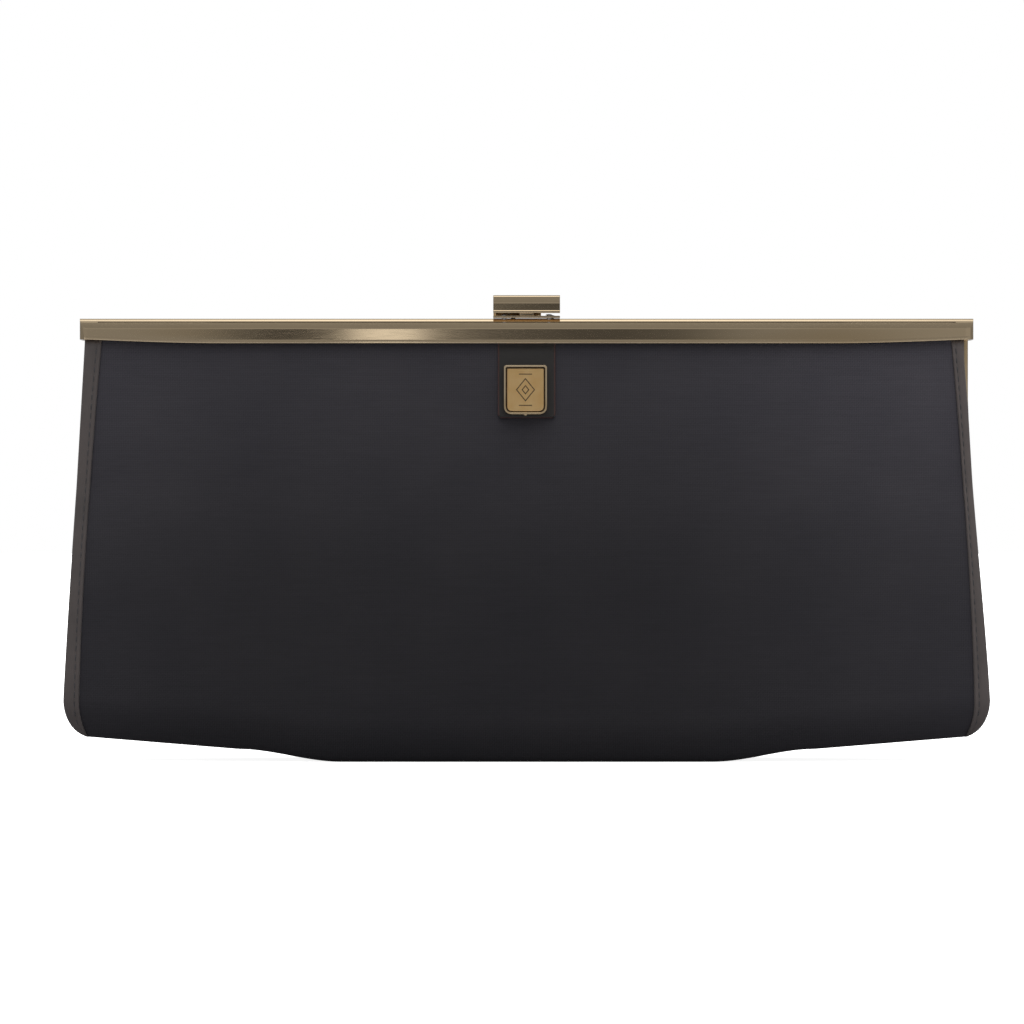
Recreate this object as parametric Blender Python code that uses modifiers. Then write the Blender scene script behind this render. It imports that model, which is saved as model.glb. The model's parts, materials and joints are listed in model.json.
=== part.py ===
"""Clutch purse: a cloth body on a hinged metal bar frame, closed by a lift lever.

Metres, +Z up. X runs along the bar, -Y is the front. The origin is the middle of the flat base.
The two frame halves turn about one line along X, through the rivets at the ends of their arms.
"""

import math

import bmesh
import bpy
from mathutils import Vector

MM = 0.001
GAP = 0.3 * MM  # clearance between neighbouring pieces

FRONT = -1
REAR = 1
LEFT = -1
RIGHT = 1
FACE_NAMES = {FRONT: "front", REAR: "rear"}
SIDE_NAMES = {LEFT: "left", RIGHT: "right"}

# Bar frame
BAR_LENGTH = 300 * MM
BAR_TOP = 148.2 * MM
BAR_HEIGHT = 8.4 * MM
BAR_DEPTH = 5.7 * MM  # of each half, measured from the middle plane
BAR_INNER = 0.3 * MM  # from the middle plane to each half's inner face
BAR_WALL = 1.1 * MM
BAR_BEVEL_DROP = 3.3 * MM
BAR_BEVEL_DEPTH = 2.1 * MM
BAR_END_RADIUS = 3 * MM
SLOT_LENGTH = 287.8 * MM
BAR_BOTTOM = BAR_TOP - BAR_HEIGHT

# Side arms and the line they turn about
HINGE_Z = 92 * MM
EYE_RADIUS = 4.5 * MM
ARM_THICKNESS = 1.8 * MM
ARM_FRONT = 4.2 * MM
ARM_BACK = 0.5 * MM
ARM_INNER_X = {FRONT: 144.1 * MM, REAR: 146.9 * MM}
ARM_ROOT_Z = 146.2 * MM
PIN_RADIUS = 1.5 * MM
PIN_HOLE_RADIUS = 1.8 * MM
PIN_HEAD_RADIUS = 2.8 * MM
PIN_HEAD_HEIGHT = 0.9 * MM
WASHER_RADIUS = 3.6 * MM
WASHER_THICKNESS = 0.4 * MM

# Cloth body
CLOTH = 1.1 * MM
LEATHER = 0.8 * MM
BOARD = 0.9 * MM
LINING = 0.6 * MM
WIDEST_Z = 19 * MM
WIDEST = 155 * MM  # half the width there
SIDE_TAPER = 0.0555  # half width lost for each unit of height
CORNER_RADIUS = 9 * MM
FLAT_BASE = 62 * MM  # half length of the flat part of the base
STEP_END = 96 * MM
STEP_RISE = 4.2 * MM
END_SLOPE = 0.078
FULL_DEPTH = 18 * MM  # half depth at the fullest height
FULL_Z = 20 * MM
HINGE_DEPTH = 10.5 * MM  # half depth at the hinge line
BAR_CLOTH_DEPTH = 4.2 * MM  # half depth inside the bar
BAR_CLOTH_Z = 139 * MM
SWELL_POWER = 1.6  # of the curve from the fullest height up to the hinge line
EDGE_SQUEEZE = 3.3 * MM  # how much thinner the body is at its side edges
EDGE_SQUEEZE_POWER = 4
BASE_ROUNDING = 14 * MM
BASE_TUCK = 4.5 * MM
ROW_POWER = 1.8  # spaces the rows of a lower sheet, closest at the base
LOWER_TOP = HINGE_Z - 1 * MM
UPPER_BOTTOM = HINGE_Z + 5 * MM
CLOTH_TOP = 144.5 * MM
UPPER_HALF_WIDTH = 143.6 * MM
BASE_HALF_LENGTH = 146 * MM
BASE_MARGIN = 1.4 * MM
BASE_BOARD = 1.5 * MM
BASE_BOARD_HALF_LENGTH = 138 * MM
BASE_BOARD_MARGIN = 3 * MM
STIFFENER_MARGIN = 9 * MM
STIFFENER_BOTTOM = 6 * MM  # above the base's underside
STIFFENER_TOP = 88 * MM
BINDING_WIDTH = 5.5 * MM
BINDING_RETURN = 3.5 * MM
BINDING_OUTER_X = 146.6 * MM
# Heights in millimetres of the rows of the side pieces, closest round the bottom corner.
CORNER_HEIGHTS = (10.4, 12, 14.5, 18, 26, 40, 55, 70)
GUSSET_UPPER_HEIGHTS = (84, 87, 97, 110, 124, 138.6)
GUSSET_BOTTOM = 10 * MM
GUSSET_KNEE = 87 * MM  # above this height the fold deepens more slowly
GUSSET_FOLDS = (2 * MM, 18 * MM)  # its depth at the bottom and at the knee
GUSSET_UPPER_SLOPE = 0.17
GUSSET_FOLD_POWER = 1.5
ARMS_Z = 86.5 * MM  # above this height the gussets lie inside the arms

# Lining
LINING_END_MARGIN = 3 * MM  # from the gusset's fold to the end of the lining
PLAQUE_ROOM = 1 * MM  # the lining's extra inset behind the plaque's back plate
PLAQUE_ROOM_END = 45 * MM
PLAQUE_ROOM_FADE = 20 * MM
PLAQUE_ROOM_TOP = 140 * MM
PLAQUE_ROOM_TOP_FADE = 5 * MM
POCKET_HALF_LENGTH = 70 * MM
POCKET_BOTTOM = 16 * MM
POCKET_TOP = 84 * MM
POCKET_SLACK = 0.9 * MM

# Leather patch and plaque at the middle of the bar
PATCH_WIDTH = 19.4 * MM
PATCH_THICKNESS = 1.2 * MM
PATCH_BOTTOM = 114.6 * MM
PLAQUE_WIDTH = 14.5 * MM
PLAQUE_HEIGHT = 16.7 * MM
PLAQUE_Z = 124.55 * MM
PLAQUE_RIM = 1.2 * MM
# Corner radii, top then bottom
PLAQUE_CORNERS = (0.8 * MM, 2.4 * MM)
PLAQUE_OPENING_CORNERS = (0.5 * MM, 1.4 * MM)
PLATE_CORNERS = (0.4 * MM, 1.2 * MM)
BACK_PLATE_CORNERS = (1 * MM, 1 * MM)
BACK_PLATE_WIDTH = 12 * MM
BACK_PLATE_HEIGHT = 14 * MM
BEZEL_THICKNESS = 1.8 * MM
PLATE_THICKNESS = 1.2 * MM
BACK_PLATE_THICKNESS = 0.5 * MM
POST_RADIUS = 0.6 * MM
POST_HEIGHT = 4 * MM  # of each post above or below the plaque's centre
POST_END = 2.1 * MM  # how far each post reaches in behind the cloth's outer face
POST_HOLE_ENDS = (-2.2 * MM, 2 * MM)

# Clasp
CLASP_WIDTH = 22.4 * MM
CLASP_PLATE = 0.6 * MM
CLASP_PLATE_Z = BAR_TOP + GAP
CLASP_PLATE_TOP = CLASP_PLATE_Z + CLASP_PLATE
CLASP_PLATE_NEAR = 0.4 * MM  # each plate's nearest and furthest Y from the middle plane
CLASP_PLATE_FAR = 5.3 * MM
LEVER_BOTTOM = 151.1 * MM
LEVER_TOP = 156.1 * MM
LEVER_FRONT = 5.5 * MM
LEVER_BACK = 5.6 * MM
LEVER_WALL = 0.9 * MM
LEVER_BEVEL_DROP = 2.4 * MM
LEVER_BEVEL_DEPTH = 1.8 * MM
LEVER_BACK_CHAMFER = 1 * MM
LEVER_HEEL_CHAMFER = 0.6 * MM
LEVER_OPEN_BACK = 1.6 * MM  # above its pin, where its back wall starts
LEVER_INSIDE_DROP = 2.7 * MM
LEVER_INSIDE_DEPTH = 2.2 * MM
LEVER_PIN_Y = 3.4 * MM
LEVER_PIN_Z = 152.3 * MM
LEVER_PIN_RADIUS = 0.7 * MM
LEVER_HOLE_RADIUS = 1 * MM
PIN_END_MARGIN = 0.2 * MM
LUG_THICKNESS = 1 * MM
LUG_RADIUS = 1.55 * MM
LUG_LEFT_X = (-8.4 * MM, 3.9 * MM)
CATCH_POST_HALF_WIDTH = 2.3 * MM
CATCH_POST_FRONT = 4.6 * MM
CATCH_POST_BACK = 1.2 * MM
CATCH_POST_TOP = 150.8 * MM
CATCH_POST_BEVEL_DROP = 0.5 * MM
CATCH_POST_TOP_DEPTHS = (4 * MM, 2.2 * MM)
RIVET_RADIUS = 0.8 * MM
RIVET_HOLE_RADIUS = 1.1 * MM
RIVET_HEAD_RADIUS = 1.3 * MM
RIVET_HEAD_HEIGHT = 0.35 * MM
RIVET_SHOULDER = 0.3 * MM
RIVET_TAIL_HEIGHT = 0.5 * MM
RIVET_Y = 3 * MM
CATCH_RIVETS_X = (-7.5 * MM, 7.5 * MM)
CLASP_RIVETS_X = (-4.5 * MM, 8.5 * MM)

# Clasp spring
SPRING_RADIUS = 1.25 * MM
SPRING_WIRE_RADIUS = 0.22 * MM
SPRING_TURNS = 5
SPRING_TURN_SEGMENTS = 10
SPRING_START_X = -6 * MM
SPRING_PITCH = 1.5 * MM
SPRING_PLATE_LEG = (0.9 * MM, CLASP_PLATE_TOP + 0.6 * MM)  # the end of each leg, as (y, z)
SPRING_LEVER_LEG = (4.3 * MM, CLASP_PLATE_TOP + 1.3 * MM)


# ---- Scene, materials and placing -------------------------------------------------------------


def clear_scene():
    for old in list(bpy.data.objects):
        bpy.data.objects.remove(old, do_unlink=True)


def new_collection(name):
    collection = bpy.data.collections.new(name)
    bpy.context.scene.collection.children.link(collection)
    return collection


clear_scene()
PURSE = new_collection("clutch_purse")
CUTTERS = new_collection("cutters")


def add_finish(name, colour, roughness, metallic=0.0):
    material = bpy.data.materials.new(name)
    material.use_nodes = True
    shader = material.node_tree.nodes["Principled BSDF"]
    shader.inputs["Base Color"].default_value = (*colour, 1)
    shader.inputs["Roughness"].default_value = roughness
    shader.inputs["Metallic"].default_value = metallic
    return material


PALE_GOLD = add_finish("polished_pale_gold", (0.62, 0.53, 0.39), 0.18, 1.0)
WARM_GOLD = add_finish("satin_gold", (0.42, 0.29, 0.12), 0.38, 1.0)
STEEL = add_finish("spring_steel", (0.45, 0.45, 0.46), 0.3, 1.0)
BLACK_CLOTH = add_finish("black_woven_cloth", (0.018, 0.018, 0.021), 0.85)
BLACK_LEATHER = add_finish("black_leather", (0.03, 0.027, 0.025), 0.5)
LINING_CLOTH = add_finish("taupe_lining", (0.16, 0.13, 0.1), 0.7)
GREY_BOARD = add_finish("grey_board", (0.22, 0.2, 0.18), 0.9)


def add_axis(name, y, z):
    """An empty on a joint's axis, the parent of the pieces that turn about it."""
    axis = bpy.data.objects.new(name, None)
    axis.empty_display_size = 20 * MM
    axis.location = (0, y, z)
    PURSE.objects.link(axis)
    bpy.context.view_layer.update()
    return axis


def place_piece(piece, finish, parent=None):
    piece.data.materials.append(finish)
    PURSE.objects.link(piece)
    if parent is not None:
        piece.parent = parent
        piece.matrix_parent_inverse = parent.matrix_world.inverted()
    return piece


def make_cutter(cutter):
    cutter.display_type = "WIRE"
    cutter.hide_render = True
    CUTTERS.objects.link(cutter)
    return cutter


def combine(piece, other, operation):
    joint = piece.modifiers.new(operation.title(), "BOOLEAN")
    joint.operation = operation
    joint.solver = "EXACT"
    joint.object = other


# ---- Shapes -----------------------------------------------------------------------------------


def arc(centre, radius, start, end, segments):
    """Points on an arc, its ends included; the angles are in degrees."""
    points = []
    for step in range(segments + 1):
        angle = math.radians(start + (end - start) * step / segments)
        points.append((centre[0] + radius * math.cos(angle), centre[1] + radius * math.sin(angle)))
    return points


def rounded_rectangle(width, height, top_radius, bottom_radius, segments=4):
    """A rectangle about the origin with rounded corners, anticlockwise from its lower right."""
    outline = []
    corners = (
        (1, -1, 270, bottom_radius),
        (1, 1, 0, top_radius),
        (-1, 1, 90, top_radius),
        (-1, -1, 180, bottom_radius),
    )
    for side, end, start, radius in corners:
        centre = (side * (width / 2 - radius), end * (height / 2 - radius))
        outline += arc(centre, radius, start, start + 90, segments)
    return outline


def plate(name, outlines, thickness, location=(0, 0, 0), rotation=(0, 0, 0)):
    """A flat plate from 2D outlines in its own XY plane, centred on that plane, as a mesh."""
    curve = bpy.data.curves.new(name, "CURVE")
    curve.dimensions = "2D"
    curve.fill_mode = "BOTH"
    curve.extrude = thickness / 2
    for outline in outlines:
        spline = curve.splines.new("POLY")
        spline.points.add(len(outline) - 1)
        for point, (x, y) in zip(spline.points, outline):
            point.co = (x, y, 0, 1)
        spline.use_cyclic_u = True
    drawn = bpy.data.objects.new(name + "_outline", curve)
    drawn.location = location
    drawn.rotation_euler = rotation
    bpy.context.scene.collection.objects.link(drawn)
    bpy.context.view_layer.update()
    graph = bpy.context.evaluated_depsgraph_get()
    mesh = bpy.data.meshes.new_from_object(drawn.evaluated_get(graph))
    mesh.name = name
    welded = bmesh.new()
    welded.from_mesh(mesh)
    bmesh.ops.remove_doubles(welded, verts=welded.verts, dist=0.001 * MM)
    bmesh.ops.recalc_face_normals(welded, faces=welded.faces)
    welded.to_mesh(mesh)
    welded.free()
    piece = bpy.data.objects.new(name, mesh)
    piece.matrix_world = drawn.matrix_world.copy()
    bpy.data.objects.remove(drawn, do_unlink=True)
    return piece


# Turns a plate drawn in XY so that its x lies along Y, its y along Z and its thickness along X.
ALONG_BAR = (math.pi / 2, 0, math.pi / 2)


def across_bar(name, outline, low_x, high_x):
    """A plate drawn as (y, z) points, from low_x to high_x."""
    return plate(name, [outline], high_x - low_x, ((low_x + high_x) / 2, 0, 0), ALONG_BAR)


def block(name, low, high):
    mesh = bpy.data.meshes.new(name)
    cube = bmesh.new()
    bmesh.ops.create_cube(cube, size=1)
    for corner in cube.verts:
        corner.co = [a + (c + 0.5) * (b - a) for a, b, c in zip(low, high, corner.co)]
    cube.to_mesh(mesh)
    cube.free()
    return bpy.data.objects.new(name, mesh)


def rod(name, radius, start, end, segments=16):
    """A cylinder between two points."""
    start = Vector(start)
    end = Vector(end)
    mesh = bpy.data.meshes.new(name)
    cylinder = bmesh.new()
    bmesh.ops.create_cone(
        cylinder,
        cap_ends=True,
        segments=segments,
        radius1=radius,
        radius2=radius,
        depth=(end - start).length,
    )
    cylinder.to_mesh(mesh)
    cylinder.free()
    piece = bpy.data.objects.new(name, mesh)
    piece.location = (start + end) / 2
    piece.rotation_euler = (end - start).to_track_quat("Z", "Y").to_euler()
    return piece


def turned(name, profile, location, rotation, closed=False, steps=20):
    """A turned piece: (radius, height) points down its outer side, spun about its own Z axis."""
    mesh = bpy.data.meshes.new(name)
    drawn = bmesh.new()
    points = [drawn.verts.new((radius, 0, height)) for radius, height in profile]
    for first, second in zip(points, points[1:]):
        drawn.edges.new((first, second))
    if closed:
        drawn.edges.new((points[-1], points[0]))
    drawn.to_mesh(mesh)
    drawn.free()
    piece = bpy.data.objects.new(name, mesh)
    piece.location = location
    piece.rotation_euler = rotation
    spin = piece.modifiers.new("Turn", "SCREW")
    spin.steps = steps
    spin.render_steps = steps
    spin.use_merge_vertices = True
    spin.merge_threshold = 0.01 * MM
    spin.use_smooth_shade = True
    return piece


def sheet(name, columns, rows, place, thickness):
    """A closed sheet whose outer face is place(u, v), for u and v from -1 to 1."""
    mesh = bpy.data.meshes.new(name)
    grid = bmesh.new()
    bmesh.ops.create_grid(grid, x_segments=columns, y_segments=rows, size=1)
    for vertex in grid.verts:
        vertex.co = place(vertex.co.x, vertex.co.y)
    grid.to_mesh(mesh)
    grid.free()
    mesh.shade_smooth()
    piece = bpy.data.objects.new(name, mesh)
    wall = piece.modifiers.new("Thickness", "SOLIDIFY")
    wall.thickness = thickness
    wall.offset = -1
    return piece


def mix(low, high, share):
    return low + (high - low) * share


def clamp(value):
    return min(max(value, 0), 1)


# ---- Body surface -----------------------------------------------------------------------------


def base_rise(x):
    """Height of the base's underside: flat at the middle, with ends that rise."""
    x = abs(x)
    share = clamp((x - FLAT_BASE) / (STEP_END - FLAT_BASE))
    step = STEP_RISE * share * share * (3 - 2 * share)
    return step + END_SLOPE * max(x - STEP_END, 0)


END_RISE = base_rise(WIDEST)


def half_width(z):
    """Half the body's width at height z, with its bottom corners rounded."""
    width = WIDEST - SIDE_TAPER * (z - WIDEST_Z)
    below = clamp((END_RISE + CORNER_RADIUS - z) / CORNER_RADIUS)
    return width - CORNER_RADIUS * (1 - math.sqrt(1 - below * below))


def middle_depth(z):
    if z >= BAR_CLOTH_Z:
        return BAR_CLOTH_DEPTH
    if z >= HINGE_Z:
        return mix(HINGE_DEPTH, BAR_CLOTH_DEPTH, (z - HINGE_Z) / (BAR_CLOTH_Z - HINGE_Z))
    swell = clamp((z - FULL_Z) / (HINGE_Z - FULL_Z))
    return mix(FULL_DEPTH, HINGE_DEPTH, swell**SWELL_POWER)


def half_depth(x, z):
    """Half the body's depth: from the middle plane to the outer face of the cloth."""
    squeeze = EDGE_SQUEEZE * clamp((BAR_CLOTH_Z - z) / (BAR_CLOTH_Z - HINGE_Z))
    tuck = BASE_TUCK * (1 - clamp((z - base_rise(x)) / BASE_ROUNDING)) ** 2
    return middle_depth(z) - tuck - squeeze * clamp(abs(x) / half_width(z)) ** EDGE_SQUEEZE_POWER


def body_point(face, x, z, inset):
    """A point that lies inset inside the outer face of the front or rear cloth."""
    return Vector((x, face * (half_depth(x, z) - inset), z))


def row_share(v):
    """Rows lie closer together towards the base, where the body curves most."""
    return ((v + 1) / 2) ** ROW_POWER


def lower_place(face, edge_margin, bottom, top, inset):
    """Places a lower sheet from bottom, above the base's underside, up to top."""

    def place(u, v):
        share = row_share(v)
        end_z = mix(END_RISE + bottom, top, share)
        x = -face * u * (half_width(end_z) - edge_margin)
        z = mix(base_rise(x) + bottom, top, share)
        return body_point(face, x, z, inset)

    return place


def upper_place(face, width, bottom, top, inset):
    def place(u, v):
        x = -face * u * width
        z = mix(bottom, top, (v + 1) / 2)
        return body_point(face, x, z, inset(x, z))

    return place


def no_inset(x, z):
    return 0


def upper_lining_inset(x, z):
    """The lining lies behind the cloth, and further in behind the plaque's back plate."""
    across = clamp((PLAQUE_ROOM_END - abs(x)) / PLAQUE_ROOM_FADE)
    upward = clamp((PLAQUE_ROOM_TOP - z) / PLAQUE_ROOM_TOP_FADE)
    return CLOTH + GAP + PLAQUE_ROOM * across * upward


# ---- Cloth, lining and boards -----------------------------------------------------------------


def make_body_panels():
    margin = LEATHER + GAP
    for face, half in ((FRONT, FRONT_HALF), (REAR, REAR_HALF)):
        name = FACE_NAMES[face]
        lower = sheet(
            name + "_panel_lower", 20, 10, lower_place(face, margin, 0, LOWER_TOP, 0), CLOTH
        )
        place_piece(lower, BLACK_CLOTH)
        place = upper_place(face, UPPER_HALF_WIDTH, UPPER_BOTTOM, CLOTH_TOP, no_inset)
        upper = sheet(name + "_panel_upper", 12, 8, place, CLOTH)
        place_piece(upper, BLACK_CLOTH, half)
        if face == FRONT:
            for cutter in POST_CUTTERS:
                combine(upper, cutter, "DIFFERENCE")


def make_base():
    """The cloth base and the board on it, which follow the underside's curve."""

    def place_at(height, length, edge_margin):
        def place(u, v):
            x = u * length
            depth = half_depth(x, base_rise(x)) - edge_margin
            return Vector((x, -v * depth, base_rise(x) + height))

        return place

    panel = sheet("base_panel", 24, 2, place_at(0, BASE_HALF_LENGTH, BASE_MARGIN), CLOTH)
    place_piece(panel, BLACK_CLOTH)
    place = place_at(CLOTH + GAP, BASE_BOARD_HALF_LENGTH, BASE_BOARD_MARGIN)
    board = sheet("base_board", 20, 2, place, BASE_BOARD)
    place_piece(board, GREY_BOARD)


def make_stiffeners():
    for face in (FRONT, REAR):
        place = lower_place(face, STIFFENER_MARGIN, STIFFENER_BOTTOM, STIFFENER_TOP, CLOTH + GAP)
        board = sheet(FACE_NAMES[face] + "_stiffener_board", 14, 8, place, BOARD)
        place_piece(board, GREY_BOARD)


def gusset_edge(z):
    """How far out the gusset reaches: to the bindings, and inside the arms above their eyes."""
    if z > ARMS_Z:
        return UPPER_HALF_WIDTH
    return half_width(z) - LEATHER - 2 * GAP


def gusset_fold(z):
    """How deep the gusset folds in towards the middle of the purse."""
    share = clamp((z - GUSSET_BOTTOM) / (GUSSET_KNEE - GUSSET_BOTTOM))
    return mix(*GUSSET_FOLDS, share) + GUSSET_UPPER_SLOPE * max(z - GUSSET_KNEE, 0)


def gusset_half_gap(x, z):
    if z < ARMS_Z:
        return half_depth(x, z) - CLOTH - LINING - 3 * GAP
    return half_depth(x, z) - CLOTH - 2 * LINING - 3.5 * GAP


def make_gussets():
    heights = CORNER_HEIGHTS + GUSSET_UPPER_HEIGHTS
    rows = len(heights) - 1

    def place_on(side):
        def place(u, v):
            z = heights[round((v + 1) / 2 * rows)] * MM
            edge = gusset_edge(z)
            x = edge - gusset_fold(z) * (1 - abs(u) ** GUSSET_FOLD_POWER)
            return Vector((side * x, side * u * gusset_half_gap(edge, z), z))

        return place

    for side in (LEFT, RIGHT):
        gusset = sheet("gusset_" + SIDE_NAMES[side], 10, rows, place_on(side), LINING)
        place_piece(gusset, BLACK_LEATHER)


def make_lining():
    """A pouch below the hinge line, and a leaf above it on each frame half."""
    mesh = bpy.data.meshes.new("lining_pouch")
    pouch = bmesh.new()
    bmesh.ops.create_cube(pouch, size=2)
    pouch.faces.ensure_lookup_table()
    top = max(pouch.faces, key=lambda face: face.calc_center_median().z)
    bmesh.ops.delete(pouch, geom=[top], context="FACES_ONLY")
    for axis, cuts in ((0, 15), (1, 1), (2, 8)):
        along = [e for e in pouch.edges if abs(e.verts[0].co[axis] - e.verts[1].co[axis]) > 0.01]
        bmesh.ops.subdivide_edges(pouch, edges=along, cuts=cuts, use_grid_fill=True)
    bottom = CLOTH + BASE_BOARD + 2 * GAP
    for vertex in pouch.verts:
        u, across, up = vertex.co
        share = row_share(up)
        end_z = mix(END_RISE + bottom, LOWER_TOP, share)
        x = u * (gusset_edge(end_z) - gusset_fold(end_z) - LINING_END_MARGIN)
        z = mix(base_rise(x) + bottom, LOWER_TOP, share)
        y = across * (half_depth(x, z) - CLOTH - BOARD - 3 * GAP)
        vertex.co = (x, y, z)
    pouch.to_mesh(mesh)
    pouch.free()
    piece = bpy.data.objects.new("lining_pouch", mesh)
    wall = piece.modifiers.new("Thickness", "SOLIDIFY")
    wall.thickness = LINING
    wall.offset = -1
    place_piece(piece, LINING_CLOTH)

    for face, half in ((FRONT, FRONT_HALF), (REAR, REAR_HALF)):
        place = upper_place(face, UPPER_HALF_WIDTH, UPPER_BOTTOM, CLOTH_TOP, upper_lining_inset)
        leaf = sheet(FACE_NAMES[face] + "_lining_upper", 12, 8, place, LINING)
        place_piece(leaf, LINING_CLOTH, half)


def make_slip_pocket():
    """A flat pocket on the rear wall of the lining, open along its top."""
    lining_inset = CLOTH + BOARD + LINING + 5 * GAP

    def place(u, v):
        x = -u * POCKET_HALF_LENGTH
        z = mix(POCKET_BOTTOM, POCKET_TOP, (v + 1) / 2)
        mouth = POCKET_SLACK * clamp(v) * (1 - u**4)
        return body_point(REAR, x, z, lining_inset + mouth)

    place_piece(sheet("inner_slip_pocket", 10, 6, place, LINING), LINING_CLOTH)


def make_bindings():
    """Leather strips along the side edges; the lower ones turn round the edge of the cloth."""
    heights = CORNER_HEIGHTS + (LOWER_TOP / MM,)
    rows = len(heights) - 1
    for face, half in ((FRONT, FRONT_HALF), (REAR, REAR_HALF)):
        for side in (LEFT, RIGHT):
            name = FACE_NAMES[face] + "_binding_{}_" + SIDE_NAMES[side]
            facing = -face * side

            def place_lower(u, v, face=face, side=side, facing=facing):
                z = heights[round((v + 1) / 2 * rows)] * MM
                outer = half_width(z)
                share = (u * facing + 1) / 2
                along = share * (BINDING_WIDTH + BINDING_RETURN)
                x = outer - BINDING_WIDTH + min(along, BINDING_WIDTH)
                turn = max(along - BINDING_WIDTH, 0)
                depth = half_depth(x, z) + GAP + LEATHER - turn
                return Vector((side * x, face * depth, z))

            lower = sheet(name.format("lower"), 8, rows, place_lower, LEATHER)
            place_piece(lower, BLACK_LEATHER)

            def place_upper(u, v, face=face, side=side, facing=facing):
                z = mix(UPPER_BOTTOM + 1 * MM, BAR_BOTTOM - 1.3 * GAP, (v + 1) / 2)
                x = BINDING_OUTER_X - BINDING_WIDTH * (1 - (u * facing + 1) / 2)
                return body_point(face, side * x, z, -GAP - LEATHER)

            upper = sheet(name.format("upper"), 2, 5, place_upper, LEATHER)
            place_piece(upper, BLACK_LEATHER, half)


# ---- Patch and plaque -------------------------------------------------------------------------

CLOTH_LEAN = math.atan2(HINGE_DEPTH - BAR_CLOTH_DEPTH, BAR_CLOTH_Z - HINGE_Z)
PLAQUE_TILT = (math.pi / 2 - CLOTH_LEAN, 0, 0)
PLAQUE_OUT = Vector((0, -math.cos(CLOTH_LEAN), math.sin(CLOTH_LEAN)))
PLAQUE_UP = Vector((0, math.sin(CLOTH_LEAN), math.cos(CLOTH_LEAN)))


def on_plaque(x, up, out):
    """A point at a height over the cloth, measured from the plaque's centre on the cloth."""
    centre = Vector((x, -middle_depth(PLAQUE_Z), PLAQUE_Z))
    return centre + up * PLAQUE_UP + out * PLAQUE_OUT


def plaque_plate(name, outlines, low, high):
    return plate(name, outlines, high - low, on_plaque(0, 0, (low + high) / 2), PLAQUE_TILT)


def make_post_cutters():
    cutters = []
    for number, up in enumerate((-POST_HEIGHT, POST_HEIGHT)):
        start, end = [on_plaque(0, up, out) for out in POST_HOLE_ENDS]
        cutter = rod("post_hole_{}".format(number), POST_RADIUS + GAP, start, end, 12)
        cutters.append(make_cutter(cutter))
    return cutters


def make_plaque():
    def patch_place(u, v):
        x = u * PATCH_WIDTH / 2
        z = mix(PATCH_BOTTOM, BAR_BOTTOM - 1.3 * GAP, (v + 1) / 2)
        return body_point(FRONT, x, z, -GAP - PATCH_THICKNESS)

    patch = place_piece(
        sheet("plaque_patch", 4, 4, patch_place, PATCH_THICKNESS), BLACK_LEATHER, FRONT_HALF
    )
    seat = 2 * GAP + PATCH_THICKNESS
    outer = rounded_rectangle(PLAQUE_WIDTH, PLAQUE_HEIGHT, *PLAQUE_CORNERS)
    inner = rounded_rectangle(
        PLAQUE_WIDTH - 2 * PLAQUE_RIM, PLAQUE_HEIGHT - 2 * PLAQUE_RIM, *PLAQUE_OPENING_CORNERS
    )
    bezel = plaque_plate("plaque_bezel", [outer, inner], seat, seat + BEZEL_THICKNESS)
    place_piece(bezel, PALE_GOLD, FRONT_HALF)

    field_margin = 2 * (PLAQUE_RIM + GAP)
    field = rounded_rectangle(
        PLAQUE_WIDTH - field_margin, PLAQUE_HEIGHT - field_margin, *PLATE_CORNERS
    )
    face = plaque_plate("plaque_plate", [field], seat, seat + PLATE_THICKNESS)
    place_piece(face, WARM_GOLD, FRONT_HALF)
    for number, up in enumerate((-POST_HEIGHT, POST_HEIGHT)):
        start = on_plaque(0, up, -POST_END)
        end = on_plaque(0, up, seat + PLATE_THICKNESS / 2)
        post = make_cutter(rod("plaque_post_{}".format(number), POST_RADIUS, start, end, 12))
        combine(face, post, "UNION")

    back_top = -CLOTH - GAP
    outline = rounded_rectangle(BACK_PLATE_WIDTH, BACK_PLATE_HEIGHT, *BACK_PLATE_CORNERS)
    back = plaque_plate("plaque_back_plate", [outline], back_top - BACK_PLATE_THICKNESS, back_top)
    place_piece(back, STEEL, FRONT_HALF)
    for cutter in POST_CUTTERS:
        combine(patch, cutter, "DIFFERENCE")
        combine(back, cutter, "DIFFERENCE")


# ---- Bar frame and its hinge ------------------------------------------------------------------


def make_frame():
    plan_depth = 2 * BAR_DEPTH
    plan = plate(
        "bar_plan",
        [rounded_rectangle(BAR_LENGTH, plan_depth, BAR_END_RADIUS, BAR_END_RADIUS)],
        3 * BAR_HEIGHT,
        (0, 0, BAR_TOP),
    )
    make_cutter(plan)
    for face, half in ((FRONT, FRONT_HALF), (REAR, REAR_HALF)):
        name = FACE_NAMES[face]
        section = [
            (face * BAR_DEPTH, BAR_BOTTOM),
            (face * BAR_DEPTH, BAR_TOP - BAR_BEVEL_DROP),
            (face * (BAR_DEPTH - BAR_BEVEL_DEPTH), BAR_TOP),
            (face * BAR_INNER, BAR_TOP),
            (face * BAR_INNER, BAR_BOTTOM),
        ]
        bar = across_bar(name + "_frame", section, -0.51 * BAR_LENGTH, 0.51 * BAR_LENGTH)
        place_piece(bar, PALE_GOLD, half)
        combine(bar, plan, "INTERSECT")
        outer_y = face * (BAR_DEPTH - BAR_WALL)
        inner_y = face * (BAR_INNER + BAR_WALL)
        slot = block(
            name + "_slot",
            (-SLOT_LENGTH / 2, min(outer_y, inner_y), BAR_BOTTOM - 2 * MM),
            (SLOT_LENGTH / 2, max(outer_y, inner_y), BAR_TOP - BAR_WALL),
        )
        combine(bar, make_cutter(slot), "DIFFERENCE")
        for side in (LEFT, RIGHT):
            add_arm(bar, face, side)
        for x in CATCH_RIVETS_X if face == FRONT else CLASP_RIVETS_X:
            combine(bar, rivet_hole(face, x), "DIFFERENCE")


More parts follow.
